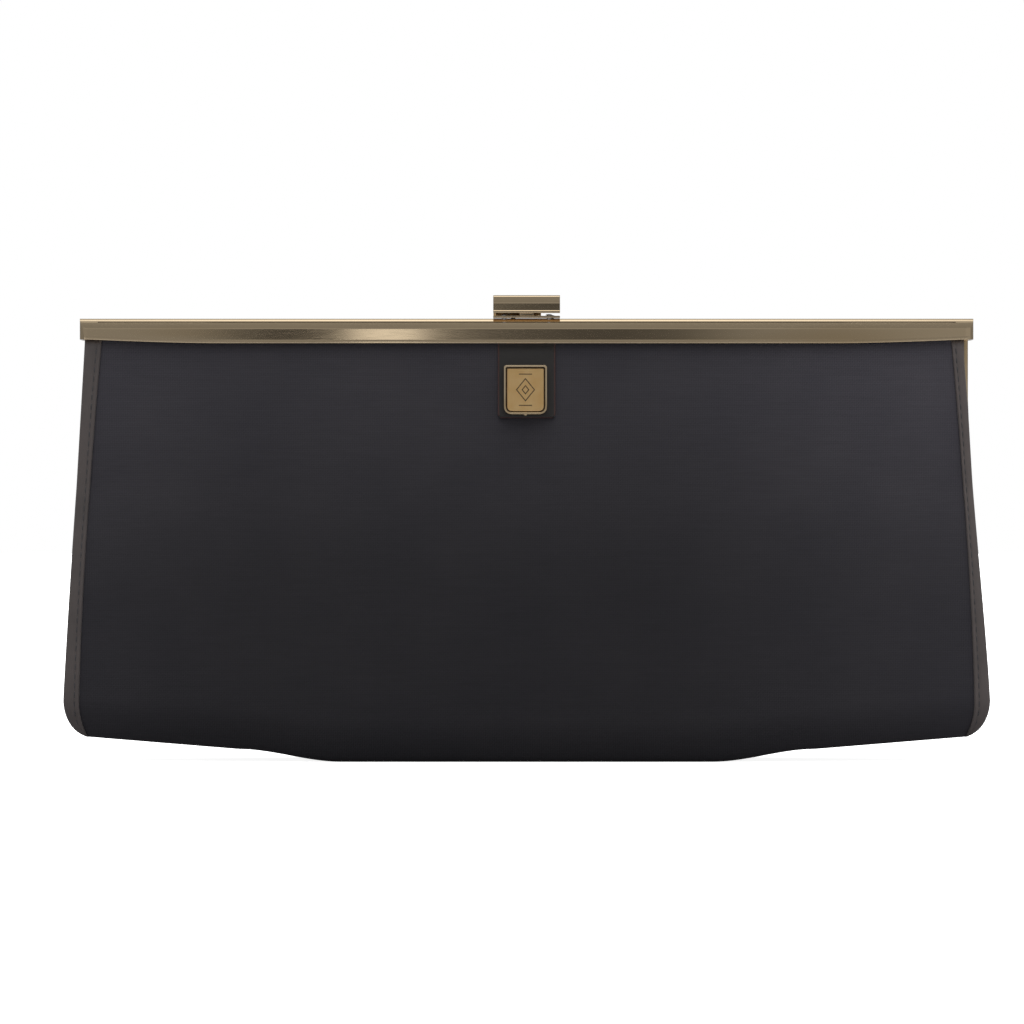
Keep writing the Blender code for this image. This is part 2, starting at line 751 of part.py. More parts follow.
def add_arm(bar, face, side):
    """A flat side arm with a round eye about the hinge line."""
    centre = (0, HINGE_Z)
    outer_rise = math.degrees(math.acos(ARM_FRONT / EYE_RADIUS))
    inner_rise = math.degrees(math.acos(ARM_BACK / EYE_RADIUS))
    # Drawn for the front half, from the arm's outer edge round the eye to its inner edge.
    outline = [(-ARM_FRONT, ARM_ROOT_Z)]
    outline += arc(centre, EYE_RADIUS, 180 - outer_rise, 540 - inner_rise, 18)
    outline.append((-ARM_BACK, ARM_ROOT_Z))
    outline = [(-face * y, z) for y, z in outline]
    near = side * ARM_INNER_X[face]
    far = side * (ARM_INNER_X[face] + ARM_THICKNESS)
    name = "{}_arm_{}".format(FACE_NAMES[face], SIDE_NAMES[side])
    arm = across_bar(name, outline, min(near, far), max(near, far))
    combine(bar, make_cutter(arm), "UNION")
    hole = rod(
        name + "_hole",
        PIN_HOLE_RADIUS,
        (near - side * GAP, 0, HINGE_Z),
        (far + side * GAP, 0, HINGE_Z),
    )
    combine(bar, make_cutter(hole), "DIFFERENCE")


def make_hinge_hardware():
    """A two-headed rivet through both eyes on each side, and a washer between the eyes."""
    inner_face = ARM_INNER_X[FRONT] - GAP
    outer_face = ARM_INNER_X[REAR] + ARM_THICKNESS + GAP
    shaft = outer_face - inner_face
    middle = (inner_face + outer_face) / 2
    washer_x = (ARM_INNER_X[FRONT] + ARM_THICKNESS + ARM_INNER_X[REAR]) / 2
    top = shaft / 2
    profile = [
        (0, top + PIN_HEAD_HEIGHT),
        (0.6 * PIN_HEAD_RADIUS, top + PIN_HEAD_HEIGHT),
        (PIN_HEAD_RADIUS, top + 0.4 * PIN_HEAD_HEIGHT),
        (PIN_HEAD_RADIUS, top),
        (PIN_RADIUS, top),
    ]
    profile += [(radius, -height) for radius, height in reversed(profile)]
    ring = [
        (WASHER_RADIUS, WASHER_THICKNESS / 2),
        (WASHER_RADIUS, -WASHER_THICKNESS / 2),
        (PIN_HOLE_RADIUS, -WASHER_THICKNESS / 2),
        (PIN_HOLE_RADIUS, WASHER_THICKNESS / 2),
    ]
    for side in (LEFT, RIGHT):
        name = SIDE_NAMES[side]
        turn = (0, side * math.pi / 2, 0)
        pin = turned("hinge_pin_" + name, profile, (side * middle, 0, HINGE_Z), turn)
        place_piece(pin, PALE_GOLD)
        washer = turned(
            "hinge_washer_" + name, ring, (side * washer_x, 0, HINGE_Z), turn, closed=True
        )
        place_piece(washer, STEEL)


# ---- Clasp ------------------------------------------------------------------------------------


def rivet_hole(face, x):
    name = "{}_rivet_hole_{}".format(FACE_NAMES[face], round(x / MM))
    if name in bpy.data.objects:
        return bpy.data.objects[name]
    low = BAR_TOP - 2 * BAR_WALL
    high = CLASP_PLATE_Z + 2 * CLASP_PLATE
    return make_cutter(
        rod(name, RIVET_HOLE_RADIUS, (x, face * RIVET_Y, low), (x, face * RIVET_Y, high), 12)
    )


def add_rivets(prefix, face, places, half):
    """Two small rivets that hold a clasp plate on its half of the bar."""
    head_bottom = CLASP_PLATE_TOP + GAP
    tail_top = BAR_TOP - BAR_WALL - GAP
    profile = [
        (0, head_bottom + RIVET_HEAD_HEIGHT),
        (0.6 * RIVET_HEAD_RADIUS, head_bottom + RIVET_SHOULDER),
        (RIVET_HEAD_RADIUS, head_bottom),
        (RIVET_RADIUS, head_bottom),
        (RIVET_RADIUS, tail_top),
        (RIVET_HEAD_RADIUS, tail_top),
        (RIVET_HEAD_RADIUS, tail_top - RIVET_TAIL_HEIGHT),
        (0, tail_top - RIVET_TAIL_HEIGHT),
    ]
    for x, name in zip(places, ("left", "right")):
        rivet = turned(prefix + name, profile, (x, face * RIVET_Y, 0), (0, 0, 0), steps=12)
        place_piece(rivet, STEEL, half)


def make_front_catch():
    """A plate on the front half of the bar with a post for the lever's lip."""
    catch = block(
        "front_catch",
        (-CLASP_WIDTH / 2, -CLASP_PLATE_FAR, CLASP_PLATE_Z),
        (CLASP_WIDTH / 2, -CLASP_PLATE_NEAR, CLASP_PLATE_TOP),
    )
    place_piece(catch, PALE_GOLD, FRONT_HALF)
    foot = CLASP_PLATE_TOP - CLASP_PLATE / 2
    top_front, top_back = CATCH_POST_TOP_DEPTHS
    outline = [
        (-CATCH_POST_FRONT, foot),
        (-CATCH_POST_BACK, foot),
        (-top_back, CATCH_POST_TOP),
        (-top_front, CATCH_POST_TOP),
        (-CATCH_POST_FRONT, CATCH_POST_TOP - CATCH_POST_BEVEL_DROP),
    ]
    post = across_bar("catch_post", outline, -CATCH_POST_HALF_WIDTH, CATCH_POST_HALF_WIDTH)
    combine(catch, make_cutter(post), "UNION")
    for x in CATCH_RIVETS_X:
        combine(catch, rivet_hole(FRONT, x), "DIFFERENCE")
    add_rivets("catch_rivet_", FRONT, CATCH_RIVETS_X, FRONT_HALF)


def make_clasp_base():
    """A plate on the rear half of the bar with two lugs for the lever's pin."""
    base = block(
        "clasp_base_plate",
        (-CLASP_WIDTH / 2, CLASP_PLATE_NEAR, CLASP_PLATE_Z),
        (CLASP_WIDTH / 2, CLASP_PLATE_FAR, CLASP_PLATE_TOP),
    )
    place_piece(base, PALE_GOLD, REAR_HALF)
    for x in CLASP_RIVETS_X:
        combine(base, rivet_hole(REAR, x), "DIFFERENCE")
    foot = CLASP_PLATE_TOP - CLASP_PLATE / 2
    for number, left in enumerate(LUG_LEFT_X):
        outline = [(LEVER_PIN_Y - LUG_RADIUS, foot), (LEVER_PIN_Y + LUG_RADIUS, foot)]
        outline += arc((LEVER_PIN_Y, LEVER_PIN_Z), LUG_RADIUS, 0, 180, 8)
        lug = across_bar("clasp_lug_{}".format(number), outline, left, left + LUG_THICKNESS)
        combine(base, make_cutter(lug), "UNION")
    bore = lever_bore("lug_bore")
    combine(base, bore, "DIFFERENCE")
    add_rivets("clasp_rivet_", REAR, CLASP_RIVETS_X, REAR_HALF)


def lever_bore(name):
    reach = CLASP_WIDTH
    return make_cutter(
        rod(
            name,
            LEVER_HOLE_RADIUS,
            (-reach, LEVER_PIN_Y, LEVER_PIN_Z),
            (reach, LEVER_PIN_Y, LEVER_PIN_Z),
            12,
        )
    )


def make_lever():
    """A bent sheet cover that turns about the clasp pin; open below and at its lower back."""
    half_width_x = CLASP_WIDTH / 2
    section = [
        (-LEVER_FRONT, LEVER_BOTTOM),
        (-LEVER_FRONT, LEVER_TOP - LEVER_BEVEL_DROP),
        (-LEVER_FRONT + LEVER_BEVEL_DEPTH, LEVER_TOP),
        (LEVER_BACK - LEVER_BACK_CHAMFER, LEVER_TOP),
        (LEVER_BACK, LEVER_TOP - LEVER_BACK_CHAMFER),
        (LEVER_BACK, LEVER_BOTTOM + LEVER_HEEL_CHAMFER),
        (LEVER_BACK - LEVER_HEEL_CHAMFER, LEVER_BOTTOM),
    ]
    lever = across_bar("clasp_lever", section, -half_width_x, half_width_x)
    place_piece(lever, PALE_GOLD, LEVER)
    below = LEVER_BOTTOM - 1 * MM
    behind = LEVER_BACK + 1 * MM
    inside = [
        (-LEVER_FRONT + LEVER_WALL, below),
        (-LEVER_FRONT + LEVER_WALL, LEVER_TOP - LEVER_INSIDE_DROP),
        (-LEVER_FRONT + LEVER_INSIDE_DEPTH, LEVER_TOP - LEVER_WALL),
        (LEVER_BACK - LEVER_WALL, LEVER_TOP - LEVER_WALL),
        (LEVER_BACK - LEVER_WALL, LEVER_PIN_Z + LEVER_OPEN_BACK),
        (behind, LEVER_PIN_Z + LEVER_OPEN_BACK),
        (behind, below),
    ]
    reach = half_width_x - LEVER_WALL
    combine(lever, make_cutter(across_bar("lever_inside", inside, -reach, reach)), "DIFFERENCE")
    combine(lever, lever_bore("lever_bore"), "DIFFERENCE")


def make_clasp_pin():
    reach = CLASP_WIDTH / 2 - PIN_END_MARGIN
    pin = rod(
        "clasp_pin",
        LEVER_PIN_RADIUS,
        (-reach, LEVER_PIN_Y, LEVER_PIN_Z),
        (reach, LEVER_PIN_Y, LEVER_PIN_Z),
        12,
    )
    place_piece(pin, STEEL, REAR_HALF)


def make_clasp_spring():
    """A torsion spring round the pin: one leg on the plate, the other under the lever's back."""
    route = [(SPRING_START_X, *SPRING_PLATE_LEG)]
    for step in range(SPRING_TURNS * SPRING_TURN_SEGMENTS + 1):
        turns = step / SPRING_TURN_SEGMENTS
        angle = math.radians(-90) - 2 * math.pi * turns
        x = SPRING_START_X + SPRING_PITCH * turns
        y = LEVER_PIN_Y + SPRING_RADIUS * math.cos(angle)
        z = LEVER_PIN_Z + SPRING_RADIUS * math.sin(angle)
        route.append((x, y, z))
    route.append((route[-1][0], *SPRING_LEVER_LEG))
    curve = bpy.data.curves.new("clasp_spring", "CURVE")
    curve.dimensions = "3D"
    curve.bevel_depth = SPRING_WIRE_RADIUS
    curve.bevel_resolution = 1
    curve.use_fill_caps = True
    wire = curve.splines.new("POLY")
    wire.points.add(len(route) - 1)
    for point, place in zip(wire.points, route):
        point.co = (*place, 1)
    place_piece(bpy.data.objects.new("clasp_spring", curve), STEEL, REAR_HALF)


FRONT_HALF = add_axis("front_half_axis", 0, HINGE_Z)
REAR_HALF = add_axis("rear_half_axis", 0, HINGE_Z)
LEVER = add_axis("lever_axis", LEVER_PIN_Y, LEVER_PIN_Z)
POST_CUTTERS = make_post_cutters()

make_body_panels()
make_base()
make_stiffeners()
make_gussets()
make_lining()
make_slip_pocket()
make_bindings()
make_plaque()
make_frame()
make_hinge_hardware()
make_front_catch()
make_clasp_base()
make_lever()
make_clasp_pin()
make_clasp_spring()
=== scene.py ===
"""Looks of the clutch purse: woven cloth body, leather edges, lining, gilt bar frame and clasp.

Metres, +Z up, -Y is the front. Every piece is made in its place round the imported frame.
"""

import json
import math

import bmesh
import bpy
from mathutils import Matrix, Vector


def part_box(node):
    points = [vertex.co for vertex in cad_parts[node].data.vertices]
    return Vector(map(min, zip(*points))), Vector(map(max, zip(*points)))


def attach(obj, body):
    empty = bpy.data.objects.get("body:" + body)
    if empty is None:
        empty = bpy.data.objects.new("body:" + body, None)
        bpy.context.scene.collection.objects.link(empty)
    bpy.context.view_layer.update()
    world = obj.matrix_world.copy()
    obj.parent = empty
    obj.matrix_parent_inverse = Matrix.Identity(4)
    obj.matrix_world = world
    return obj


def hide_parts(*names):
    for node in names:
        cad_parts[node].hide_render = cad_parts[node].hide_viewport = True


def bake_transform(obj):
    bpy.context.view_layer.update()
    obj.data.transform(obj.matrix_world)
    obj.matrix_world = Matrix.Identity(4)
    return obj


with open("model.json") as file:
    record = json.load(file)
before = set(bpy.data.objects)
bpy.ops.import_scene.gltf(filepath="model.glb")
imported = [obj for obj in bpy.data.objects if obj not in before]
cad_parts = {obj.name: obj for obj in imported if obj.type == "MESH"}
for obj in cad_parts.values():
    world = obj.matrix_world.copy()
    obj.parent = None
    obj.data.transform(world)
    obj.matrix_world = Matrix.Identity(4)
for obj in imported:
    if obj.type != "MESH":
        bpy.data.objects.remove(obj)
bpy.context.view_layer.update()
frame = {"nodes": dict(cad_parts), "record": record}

MM = 0.001
FRONT = -1
REAR = 1
LEFT = -1
RIGHT = 1
FACE_NAMES = {FRONT: "front", REAR: "rear"}
SIDE_NAMES = {LEFT: "left", RIGHT: "right"}
HALVES = {FRONT: "front_half", REAR: "rear_half"}

# Bar frame
FRAME_LOW, FRAME_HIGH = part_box("front_frame")
BAR_LENGTH = FRAME_HIGH.x - FRAME_LOW.x
BAR_TOP = FRAME_HIGH.z
BAR_DEPTH = -FRAME_LOW.y
BAR_HEIGHT = 8.4 * MM
BAR_BOTTOM = BAR_TOP - BAR_HEIGHT
BAR_INNER = 0.3 * MM
BAR_WALL = 1.1 * MM
BAR_BEVEL_DROP = 3.3 * MM
BAR_BEVEL_DEPTH = 2.1 * MM
BAR_END_RADIUS = 3 * MM
BAR_LIP = 0.25 * MM  # how far the rolled lower edge stands out
BAR_END_LIFT = 1.4 * MM  # the lower edge rises towards the ends
BAR_LIFT_START = 105 * MM
BAR_LIFT_CUTS = 10
SLOT_HALF_LENGTH = 143.9 * MM
HINGE_Z = frame["record"]["behaviour"]["joints"][0]["pos_m"][2]
EYE_RADIUS = 4.5 * MM
ARM_THICKNESS = 1.8 * MM
ARM_FRONT = 4.2 * MM
ARM_BACK = 0.5 * MM
ARM_INNER_X = {FRONT: 144.1 * MM, REAR: 146.9 * MM}
PIN_HOLE_RADIUS = 1.8 * MM

# Body surface, as the cloth's outer face
CLOTH = 1.1 * MM
WIDEST_Z = 19 * MM
WIDEST = 154.3 * MM
SIDE_TAPER = 0.0497
CORNER_WIDTH = 7.6 * MM  # the bottom corners are rounded as a quarter of an ellipse
CORNER_HEIGHT = 12 * MM
FLAT_BASE = 62 * MM
STEP_END = 96 * MM
STEP_RISE = 4.2 * MM
END_SLOPE = 0.078
FULL_DEPTH = 18 * MM
FULL_Z = 20 * MM
HINGE_DEPTH = 10.5 * MM
BAR_CLOTH_DEPTH = 4.2 * MM
BAR_CLOTH_Z = 139 * MM
EDGE_SQUEEZE = 3.3 * MM
BASE_ROUNDING = 14 * MM
BASE_TUCK = 4.5 * MM
CLOTH_TOP = 144.5 * MM
UPPER_HALF_WIDTH = 143.6 * MM

# Plaque
PLAQUE_Z = 123.7 * MM
PLAQUE_X = -0.4 * MM
PLAQUE_WIDTH = 14.5 * MM
PLAQUE_HEIGHT = 16.7 * MM
PLAQUE_SEAT = 1.8 * MM

# Clasp
LEVER_LOW, LEVER_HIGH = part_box("clasp_lever")
LEVER_PIN_Y = frame["record"]["behaviour"]["joints"][2]["pos_m"][1]
LEVER_PIN_Z = frame["record"]["behaviour"]["joints"][2]["pos_m"][2]
LEVER_WALL = 0.9 * MM
LEVER_LIP_DROP = 1.1 * MM  # the front lip hangs lower than the cover's other edges
CLASP_PLATE = 0.6 * MM
CATCH_POST_HALF_WIDTH = 2.3 * MM
CATCH_POST_FRONT = 4.15 * MM
CATCH_POST_BACK = 1.2 * MM
LUG_LEFT_X = (-8.4 * MM, 3.9 * MM)
LUG_THICKNESS = 1 * MM
LUG_RADIUS = 1.55 * MM
BACK_EDGE_TOP = 151.6 * MM
BACK_EDGE = 0.45 * MM


# ---- Camera -----------------------------------------------------------------------------------


def add_camera():
    camera = bpy.data.objects.new("camera", bpy.data.cameras.new("camera"))
    camera.location = (-4.9 * MM, -1.2, 83.3 * MM)
    camera.rotation_euler = (math.radians(90), 0, 0)
    camera.data.sensor_width = 36
    camera.data.lens = 125.3
    bpy.context.scene.collection.objects.link(camera)
    bpy.context.scene.camera = camera


# ---- Materials --------------------------------------------------------------------------------


def paint(hex_colour, alpha=1):
    """An sRGB hex colour as linear values."""
    channels = []
    for place in (1, 3, 5):
        value = int(hex_colour[place:place + 2], 16) / 255
        channels.append(value / 12.92 if value <= 0.04045 else ((value + 0.055) / 1.055) ** 2.4)
    return (*channels, alpha)


def add_node(tree, kind, inputs=None, **settings):
    """Adds a node. Each input is a value, or (other node, its output) for a link."""
    made = tree.nodes.new("ShaderNode" + kind)
    for name, value in settings.items():
        setattr(made, name, value)
    for socket, value in (inputs or {}).items():
        if isinstance(value, tuple) and isinstance(value[0], bpy.types.Node):
            tree.links.new(value[0].outputs[value[1]], made.inputs[socket])
        else:
            made.inputs[socket].default_value = value
    return made


MIX_FIRST = 6  # sockets of a Mix node that mixes colours
MIX_SECOND = 7
MIX_RESULT = 2

# Each of these five returns (node, output), ready to be another node's input.


def blend(tree, share, first, second, kind="MIX"):
    inputs = {0: share, MIX_FIRST: first, MIX_SECOND: second}
    return add_node(tree, "Mix", inputs, data_type="RGBA", blend_type=kind), MIX_RESULT


def spread(tree, value, low, high, start=0, end=1, **settings):
    """The value's range from start to end spread over low to high, and held at its ends."""
    inputs = {"Value": value, "From Min": start, "From Max": end, "To Min": low, "To Max": high}
    return add_node(tree, "MapRange", inputs, **settings), 0


def noise(tree, scale, detail, stretch=(1, 1, 1)):
    """Noise in metres on the piece's own axes; a stretch under 1 draws it out."""
    place = add_node(tree, "TexCoord")
    along = add_node(tree, "Mapping", {"Vector": (place, "Object"), "Scale": stretch})
    return add_node(tree, "TexNoise", {"Vector": (along, 0), "Scale": scale, "Detail": detail}), 0


def bump(tree, strength, distance, height, **under):
    inputs = {"Strength": strength, "Distance": distance, "Height": height}
    return add_node(tree, "Bump", {**inputs, **under}), 0


def waves(tree, spacing, place, uneven, **settings):
    """Parallel bands, one every spacing, as a height of 0 to 1."""
    inputs = {"Scale": 2 * math.pi / (20 * spacing), "Vector": place, **uneven}
    return add_node(tree, "TexWave", inputs, **settings), "Fac"


def start_finish(name, colour, roughness, **values):
    """A material with its Principled shader's own sockets set."""
    material = bpy.data.materials.new(name)
    material.use_nodes = True
    tree = material.node_tree
    shader = tree.nodes["Principled BSDF"]
    shader.inputs["Base Color"].default_value = paint(colour)
    shader.inputs["Roughness"].default_value = roughness
    for socket, value in values.items():
        shader.inputs[socket.replace("_", " ")].default_value = value
    return material, tree, shader


def connect(tree, shader, **links):
    for socket, (node, output) in links.items():
        tree.links.new(node.outputs[output], shader.inputs[socket.replace("_", " ")])


def make_gilt(name, colour, roughness, worn_colour):
    """Polished pale gold plate on brass: mirror-like, slightly wavy, with hairline scratches."""
    material, tree, shader = start_finish(name, colour, roughness, Metallic=1.0)
    # Slow waviness of thin pressed sheet, about 12 mm across and drawn out along the bar.
    swell = noise(tree, 90, 1, (0.12, 1, 1))
    # Hairlines from handling, 0.3 mm apart.
    hairs = noise(tree, 3300, 3, (0.05, 1, 1))
    worn = spread(tree, swell, 0, 1, 0.52, 0.75)
    wavy = bump(tree, 0.25, 0.06 * MM, swell)
    connect(
        tree,
        shader,
        Base_Color=blend(tree, worn, paint(colour), paint(worn_colour)),
        Roughness=spread(tree, hairs, 0.6 * roughness, 1.7 * roughness),
        Normal=bump(tree, 0.15, 0.003 * MM, hairs, Normal=wavy),
    )
    return material


def make_satin_gold():
    """Warm gold struck and left matt: a soft, even glow with a fine sandy tooth."""
    material, tree, shader = start_finish("satin_struck_gold", "#f3cf8e", 0.36, Metallic=1.0)
    clouds = noise(tree, 260, 2)
    # Sandy tooth of 0.15 mm.
    tooth = noise(tree, 6000, 2)
    connect(
        tree,
        shader,
        Base_Color=blend(tree, clouds, paint("#eebf7c"), paint("#fddaa0")),
        Normal=bump(tree, 0.3, 0.02 * MM, tooth),
    )
    return material


def make_steel():
    """Bright nickelled spring steel: grey, with fine marks from drawing."""
    material, tree, shader = start_finish("nickelled_steel", "#b9b8b6", 0.28, Metallic=1.0)
    connect(tree, shader, Roughness=spread(tree, noise(tree, 2500, 2), 0.2, 0.38))
    return material


def plain_weave(tree, spacing):
    """Over-and-under threads on the UV map, which is in metres: a height of 0 to 1."""
    place = (add_node(tree, "TexCoord"), "UV")
    uneven = {"Distortion": 0.4, "Detail": 1, "Detail Scale": 2}
    threads = [waves(tree, spacing, place, uneven, bands_direction=way) for way in ("X", "Y")]
    over = add_node(tree, "TexChecker", {"Scale": 1 / spacing, "Vector": place})
    return blend(tree, (over, "Fac"), *threads)


def painted_light_gradient(tree, colour, low, high, ends):
    """Painted light and shade: the colour is scaled from low near the base to high near the bar, and
    more towards the purse's ends, standing in for how the light falls there.
    """
    part = add_node(tree, "SeparateXYZ", {0: (add_node(tree, "TexCoord"), "Object")})
    eased = {"interpolation_type": "SMOOTHSTEP"}
    upward = spread(tree, (part, "Z"), low, high, 55 * MM, 142 * MM, **eased)
    # A little off centre, so that the right end gets the stronger painted light.
    offset = add_node(tree, "Math", {0: (part, "X"), 1: 25 * MM}, operation="ADD")
    distance = add_node(tree, "Math", {0: (offset, 0)}, operation="ABSOLUTE")
    endward = spread(tree, (distance, 0), 1, ends, 55 * MM, 190 * MM, **eased)
    amount = add_node(tree, "Math", {0: upward, 1: endward}, operation="MULTIPLY")
    return blend(tree, 1, colour, (amount, 0), "MULTIPLY")


def make_cloth():
    """Black plain-woven cloth, slightly blue: quite matt, with a short soft sheen off its fibres."""
    material, tree, shader = start_finish(
        "black_plain_weave",
        "#2f2f36",
        0.82,
        Sheen_Weight=0.22,
        Sheen_Roughness=0.4,
        Sheen_Tint=paint("#d6d4d8"),
        Specular_IOR_Level=0.3,
    )
    # The real threads lie 0.3 mm apart; they are drawn at 0.6 mm so that the weave shows.
    weave = plain_weave(tree, 0.6 * MM)
    # Uneven dyeing over some 40 mm, and slubs in single threads.
    ground = blend(tree, noise(tree, 28, 4), paint("#28272d"), paint("#343236"))
    threads = blend(tree, 0.12, ground, noise(tree, 1400, 2, (0.06, 1, 1)), "SOFT_LIGHT")
    shade = blend(tree, 1, threads, spread(tree, weave, 0.8, 1.1), "MULTIPLY")
    connect(
        tree,
        shader,
        # Painted shade low down and painted light towards the bar and the ends of the cloth.
        Base_Color=painted_light_gradient(tree, shade, 0.68, 1.35, 1.75),
        Normal=bump(tree, 0.45, 0.07 * MM, weave),
    )
    return material


def make_leather(name, dark, light, roughness, painted_brightness=(1, 1, 1)):
    """Fine-grained calf leather: small pebbles with a low natural sheen, rubbed paler in places."""
    material, tree, shader = start_finish(
        name, dark, roughness, Sheen_Weight=0.06, Sheen_Roughness=0.5, Specular_IOR_Level=0.45
    )
    # Pebbles of the grain, 0.5 mm across, over the skin's own wrinkles.
    place = (add_node(tree, "TexCoord"), "Object")
    pebbles = add_node(tree, "TexVoronoi", {"Scale": 1900, "Vector": place}, feature="SMOOTH_F1")
    wrinkles = noise(tree, 420, 4)
    tone = blend(tree, noise(tree, 70, 3), paint(dark), paint(light))
    folds = bump(tree, 0.4, 0.15 * MM, wrinkles)
    connect(
        tree,
        shader,
        # Painted light: the leather is made paler towards the bar and the ends.
        Base_Color=painted_light_gradient(tree, tone, *painted_brightness),
        Roughness=spread(tree, wrinkles, roughness - 0.1, roughness + 0.1),
        Normal=bump(tree, 0.5, 0.06 * MM, (pebbles, "Distance"), Normal=folds),
    )
    return material


def make_lining():
    """Taupe twill: diagonal ribs with a slight satin gloss."""
    material, tree, shader = start_finish(
        "taupe_twill", "#8a7767", 0.62, Sheen_Weight=0.3, Sheen_Roughness=0.35
    )
    # The real ribs lie 0.4 mm apart; they are drawn at 0.8 mm so that they show.
    place = (add_node(tree, "TexCoord"), "UV")
    uneven = {"Distortion": 0.6, "Detail": 1}
    ribs = waves(tree, 0.8 * MM, place, uneven, bands_direction="DIAGONAL")
    ground = blend(tree, noise(tree, 60, 3), paint("#7b6a5b"), paint("#968472"))
    connect(
        tree,
        shader,
        Base_Color=blend(tree, 1, ground, spread(tree, ribs, 0.78, 1.08), "MULTIPLY"),
        Normal=bump(tree, 0.5, 0.08 * MM, ribs),
    )
    return material


def make_board():
    """Grey bag board: pressed waste paper with visible flecks."""
    material, tree, shader = start_finish("grey_bag_board", "#8b857d", 0.9)
    flecks = noise(tree, 900, 5)
    connect(
        tree,
        shader,
        Base_Color=blend(tree, flecks, paint("#77716a"), paint("#a09a91")),
        Normal=bump(tree, 0.4, 0.05 * MM, flecks),
    )
    return material


def make_thread(name, dark, light):
    """Twisted polyester sewing thread: a light gloss across its twist."""
    material, tree, shader = start_finish(name, dark, 0.5, Sheen_Weight=0.2)
    place = add_node(tree, "TexCoord")
    turned = add_node(tree, "Mapping", {"Vector": (place, "Object"), "Rotation": (0.6, 0.6, 0)})
    # One turn of the twist every 0.35 mm.
    twist = waves(tree, 0.35 * MM, (turned, 0), {}, bands_direction="Z")
    connect(tree, shader, Base_Color=blend(tree, twist, paint(dark), paint(light)))
    return material


def make_enamel():
    """Dark brown enamel run into the plaque's engraved lines: glossy, slightly pooled."""
    material, tree, shader = start_finish("brown_line_enamel", "#3a2a16", 0.25, Coat_Weight=0.3)
    pools = noise(tree, 2500, 2)
    connect(tree, shader, Base_Color=blend(tree, pools, paint("#33240f"), paint("#5a4426")))
    return material


GILT = make_gilt("polished_pale_gold_plate", "#ead3b0", 0.05, "#d8bd94")
DULL_GILT = make_gilt("dulled_gold_plate", "#c9b38f", 0.3, "#a58f6c")
SATIN_GOLD = make_satin_gold()
STEEL = make_steel()
BLACK_CLOTH = make_cloth()
# The last three values of the black leather are its painted light, paler towards the bar and the
# ends.
BLACK_LEATHER = make_leather("black_calf_leather", "#363231", "#4d4644", 0.46, (1.1, 1.25, 1.5))
PATCH_LEATHER = make_leather("black_leather_patch", "#1d1b1a", "#2b2826", 0.5)
BROWN_EDGE = make_leather("brown_dyed_leather_edge", "#3a2522", "#503430", 0.55)
LINING_TWILL = make_lining()
BAG_BOARD = make_board()
BLACK_THREAD = make_thread("black_sewing_thread", "#2a2a2c", "#46464a")
TAUPE_THREAD = make_thread("taupe_sewing_thread", "#8d7a68", "#b5a48f")
ENAMEL = make_enamel()


# ---- Ways of making a piece -------------------------------------------------------------------


def mix(low, high, share):
    return low + (high - low) * share


def clamp(value):
    return min(max(value, 0), 1)


def smooth(value):
    """Eases a share of 0 to 1 at both ends, and holds it beyond them."""
    value = clamp(value)
    return value * value * (3 - 2 * value)


def ramp(value, start, end):
    """From 0 at start to 1 at end, both in mm, and held beyond them."""
    return clamp((value / MM - start) / (end - start))


def ease(value, start, end):
    """The same, leaving and arriving gently."""
    return smooth(ramp(value, start, end))


def settle(name, shape, finishes):
    """Turns a finished bmesh into an object in the scene."""
    mesh = bpy.data.meshes.new(name)
    shape.to_mesh(mesh)
    shape.free()
    piece = bpy.data.objects.new(name, mesh)
    for finish in finishes:
        mesh.materials.append(finish)
    bpy.context.scene.collection.objects.link(piece)
    return piece


def give(piece, slot, body, *nodes):
    """Attaches a piece that doesn't bend to its body and hides its CAD nodes; the slot is not used.
    """
    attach(piece, body)
    if nodes:
        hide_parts(*nodes)
    return piece


def weave_sheet(name, columns, rows, place, outward, thickness, finishes, flat_axes=(0, 2)):
    """A sheet whose visible face is place(u, row), u from -1 to 1 and row from 0 to 1.

    outward is roughly the way the visible face looks, and flat_axes are the two axes that the
    weave's UV map follows, in metres.
    """
    grid = bmesh.new()
    bmesh.ops.create_grid(grid, x_segments=columns, y_segments=rows, size=1)
    weave = grid.loops.layers.uv.new("UVMap")
    for vertex in grid.verts:
        vertex.co = place(vertex.co.x, (vertex.co.y + 1) / 2)
    grid.normal_update()
    middle = min(grid.faces, key=lambda face: abs(face.index - len(grid.faces) // 2))
    if middle.normal.dot(Vector(outward)) < 0:
        bmesh.ops.reverse_faces(grid, faces=grid.faces)
    for face in grid.faces:
        face.smooth = True
        for corner in face.loops:
            corner[weave].uv = [corner.vert.co[axis] for axis in flat_axes]
    piece = settle(name, grid, finishes)
    wall = piece.modifiers.new("Thickness", "SOLIDIFY")
    wall.thickness = thickness
    wall.offset = -1
    if len(finishes) > 1:
        wall.material_offset = 1
    return piece


def softened(outline, steps=4):
    """An outline of (a, b, radius) corners with each corner rounded by its radius."""
    points = []
    count = len(outline)
    for index, (a, b, radius) in enumerate(outline):
        corner = Vector((a, b))
        before = Vector(outline[index - 1][:2]) - corner
        after = Vector(outline[(index + 1) % count][:2]) - corner
        start = corner + before.normalized() * min(radius, before.length * 0.49)
        end = corner + after.normalized() * min(radius, after.length * 0.49)
        for step in range(steps + 1):
            share = step / steps
            points.append(start.lerp(corner, share).lerp(corner.lerp(end, share), share))
    return points


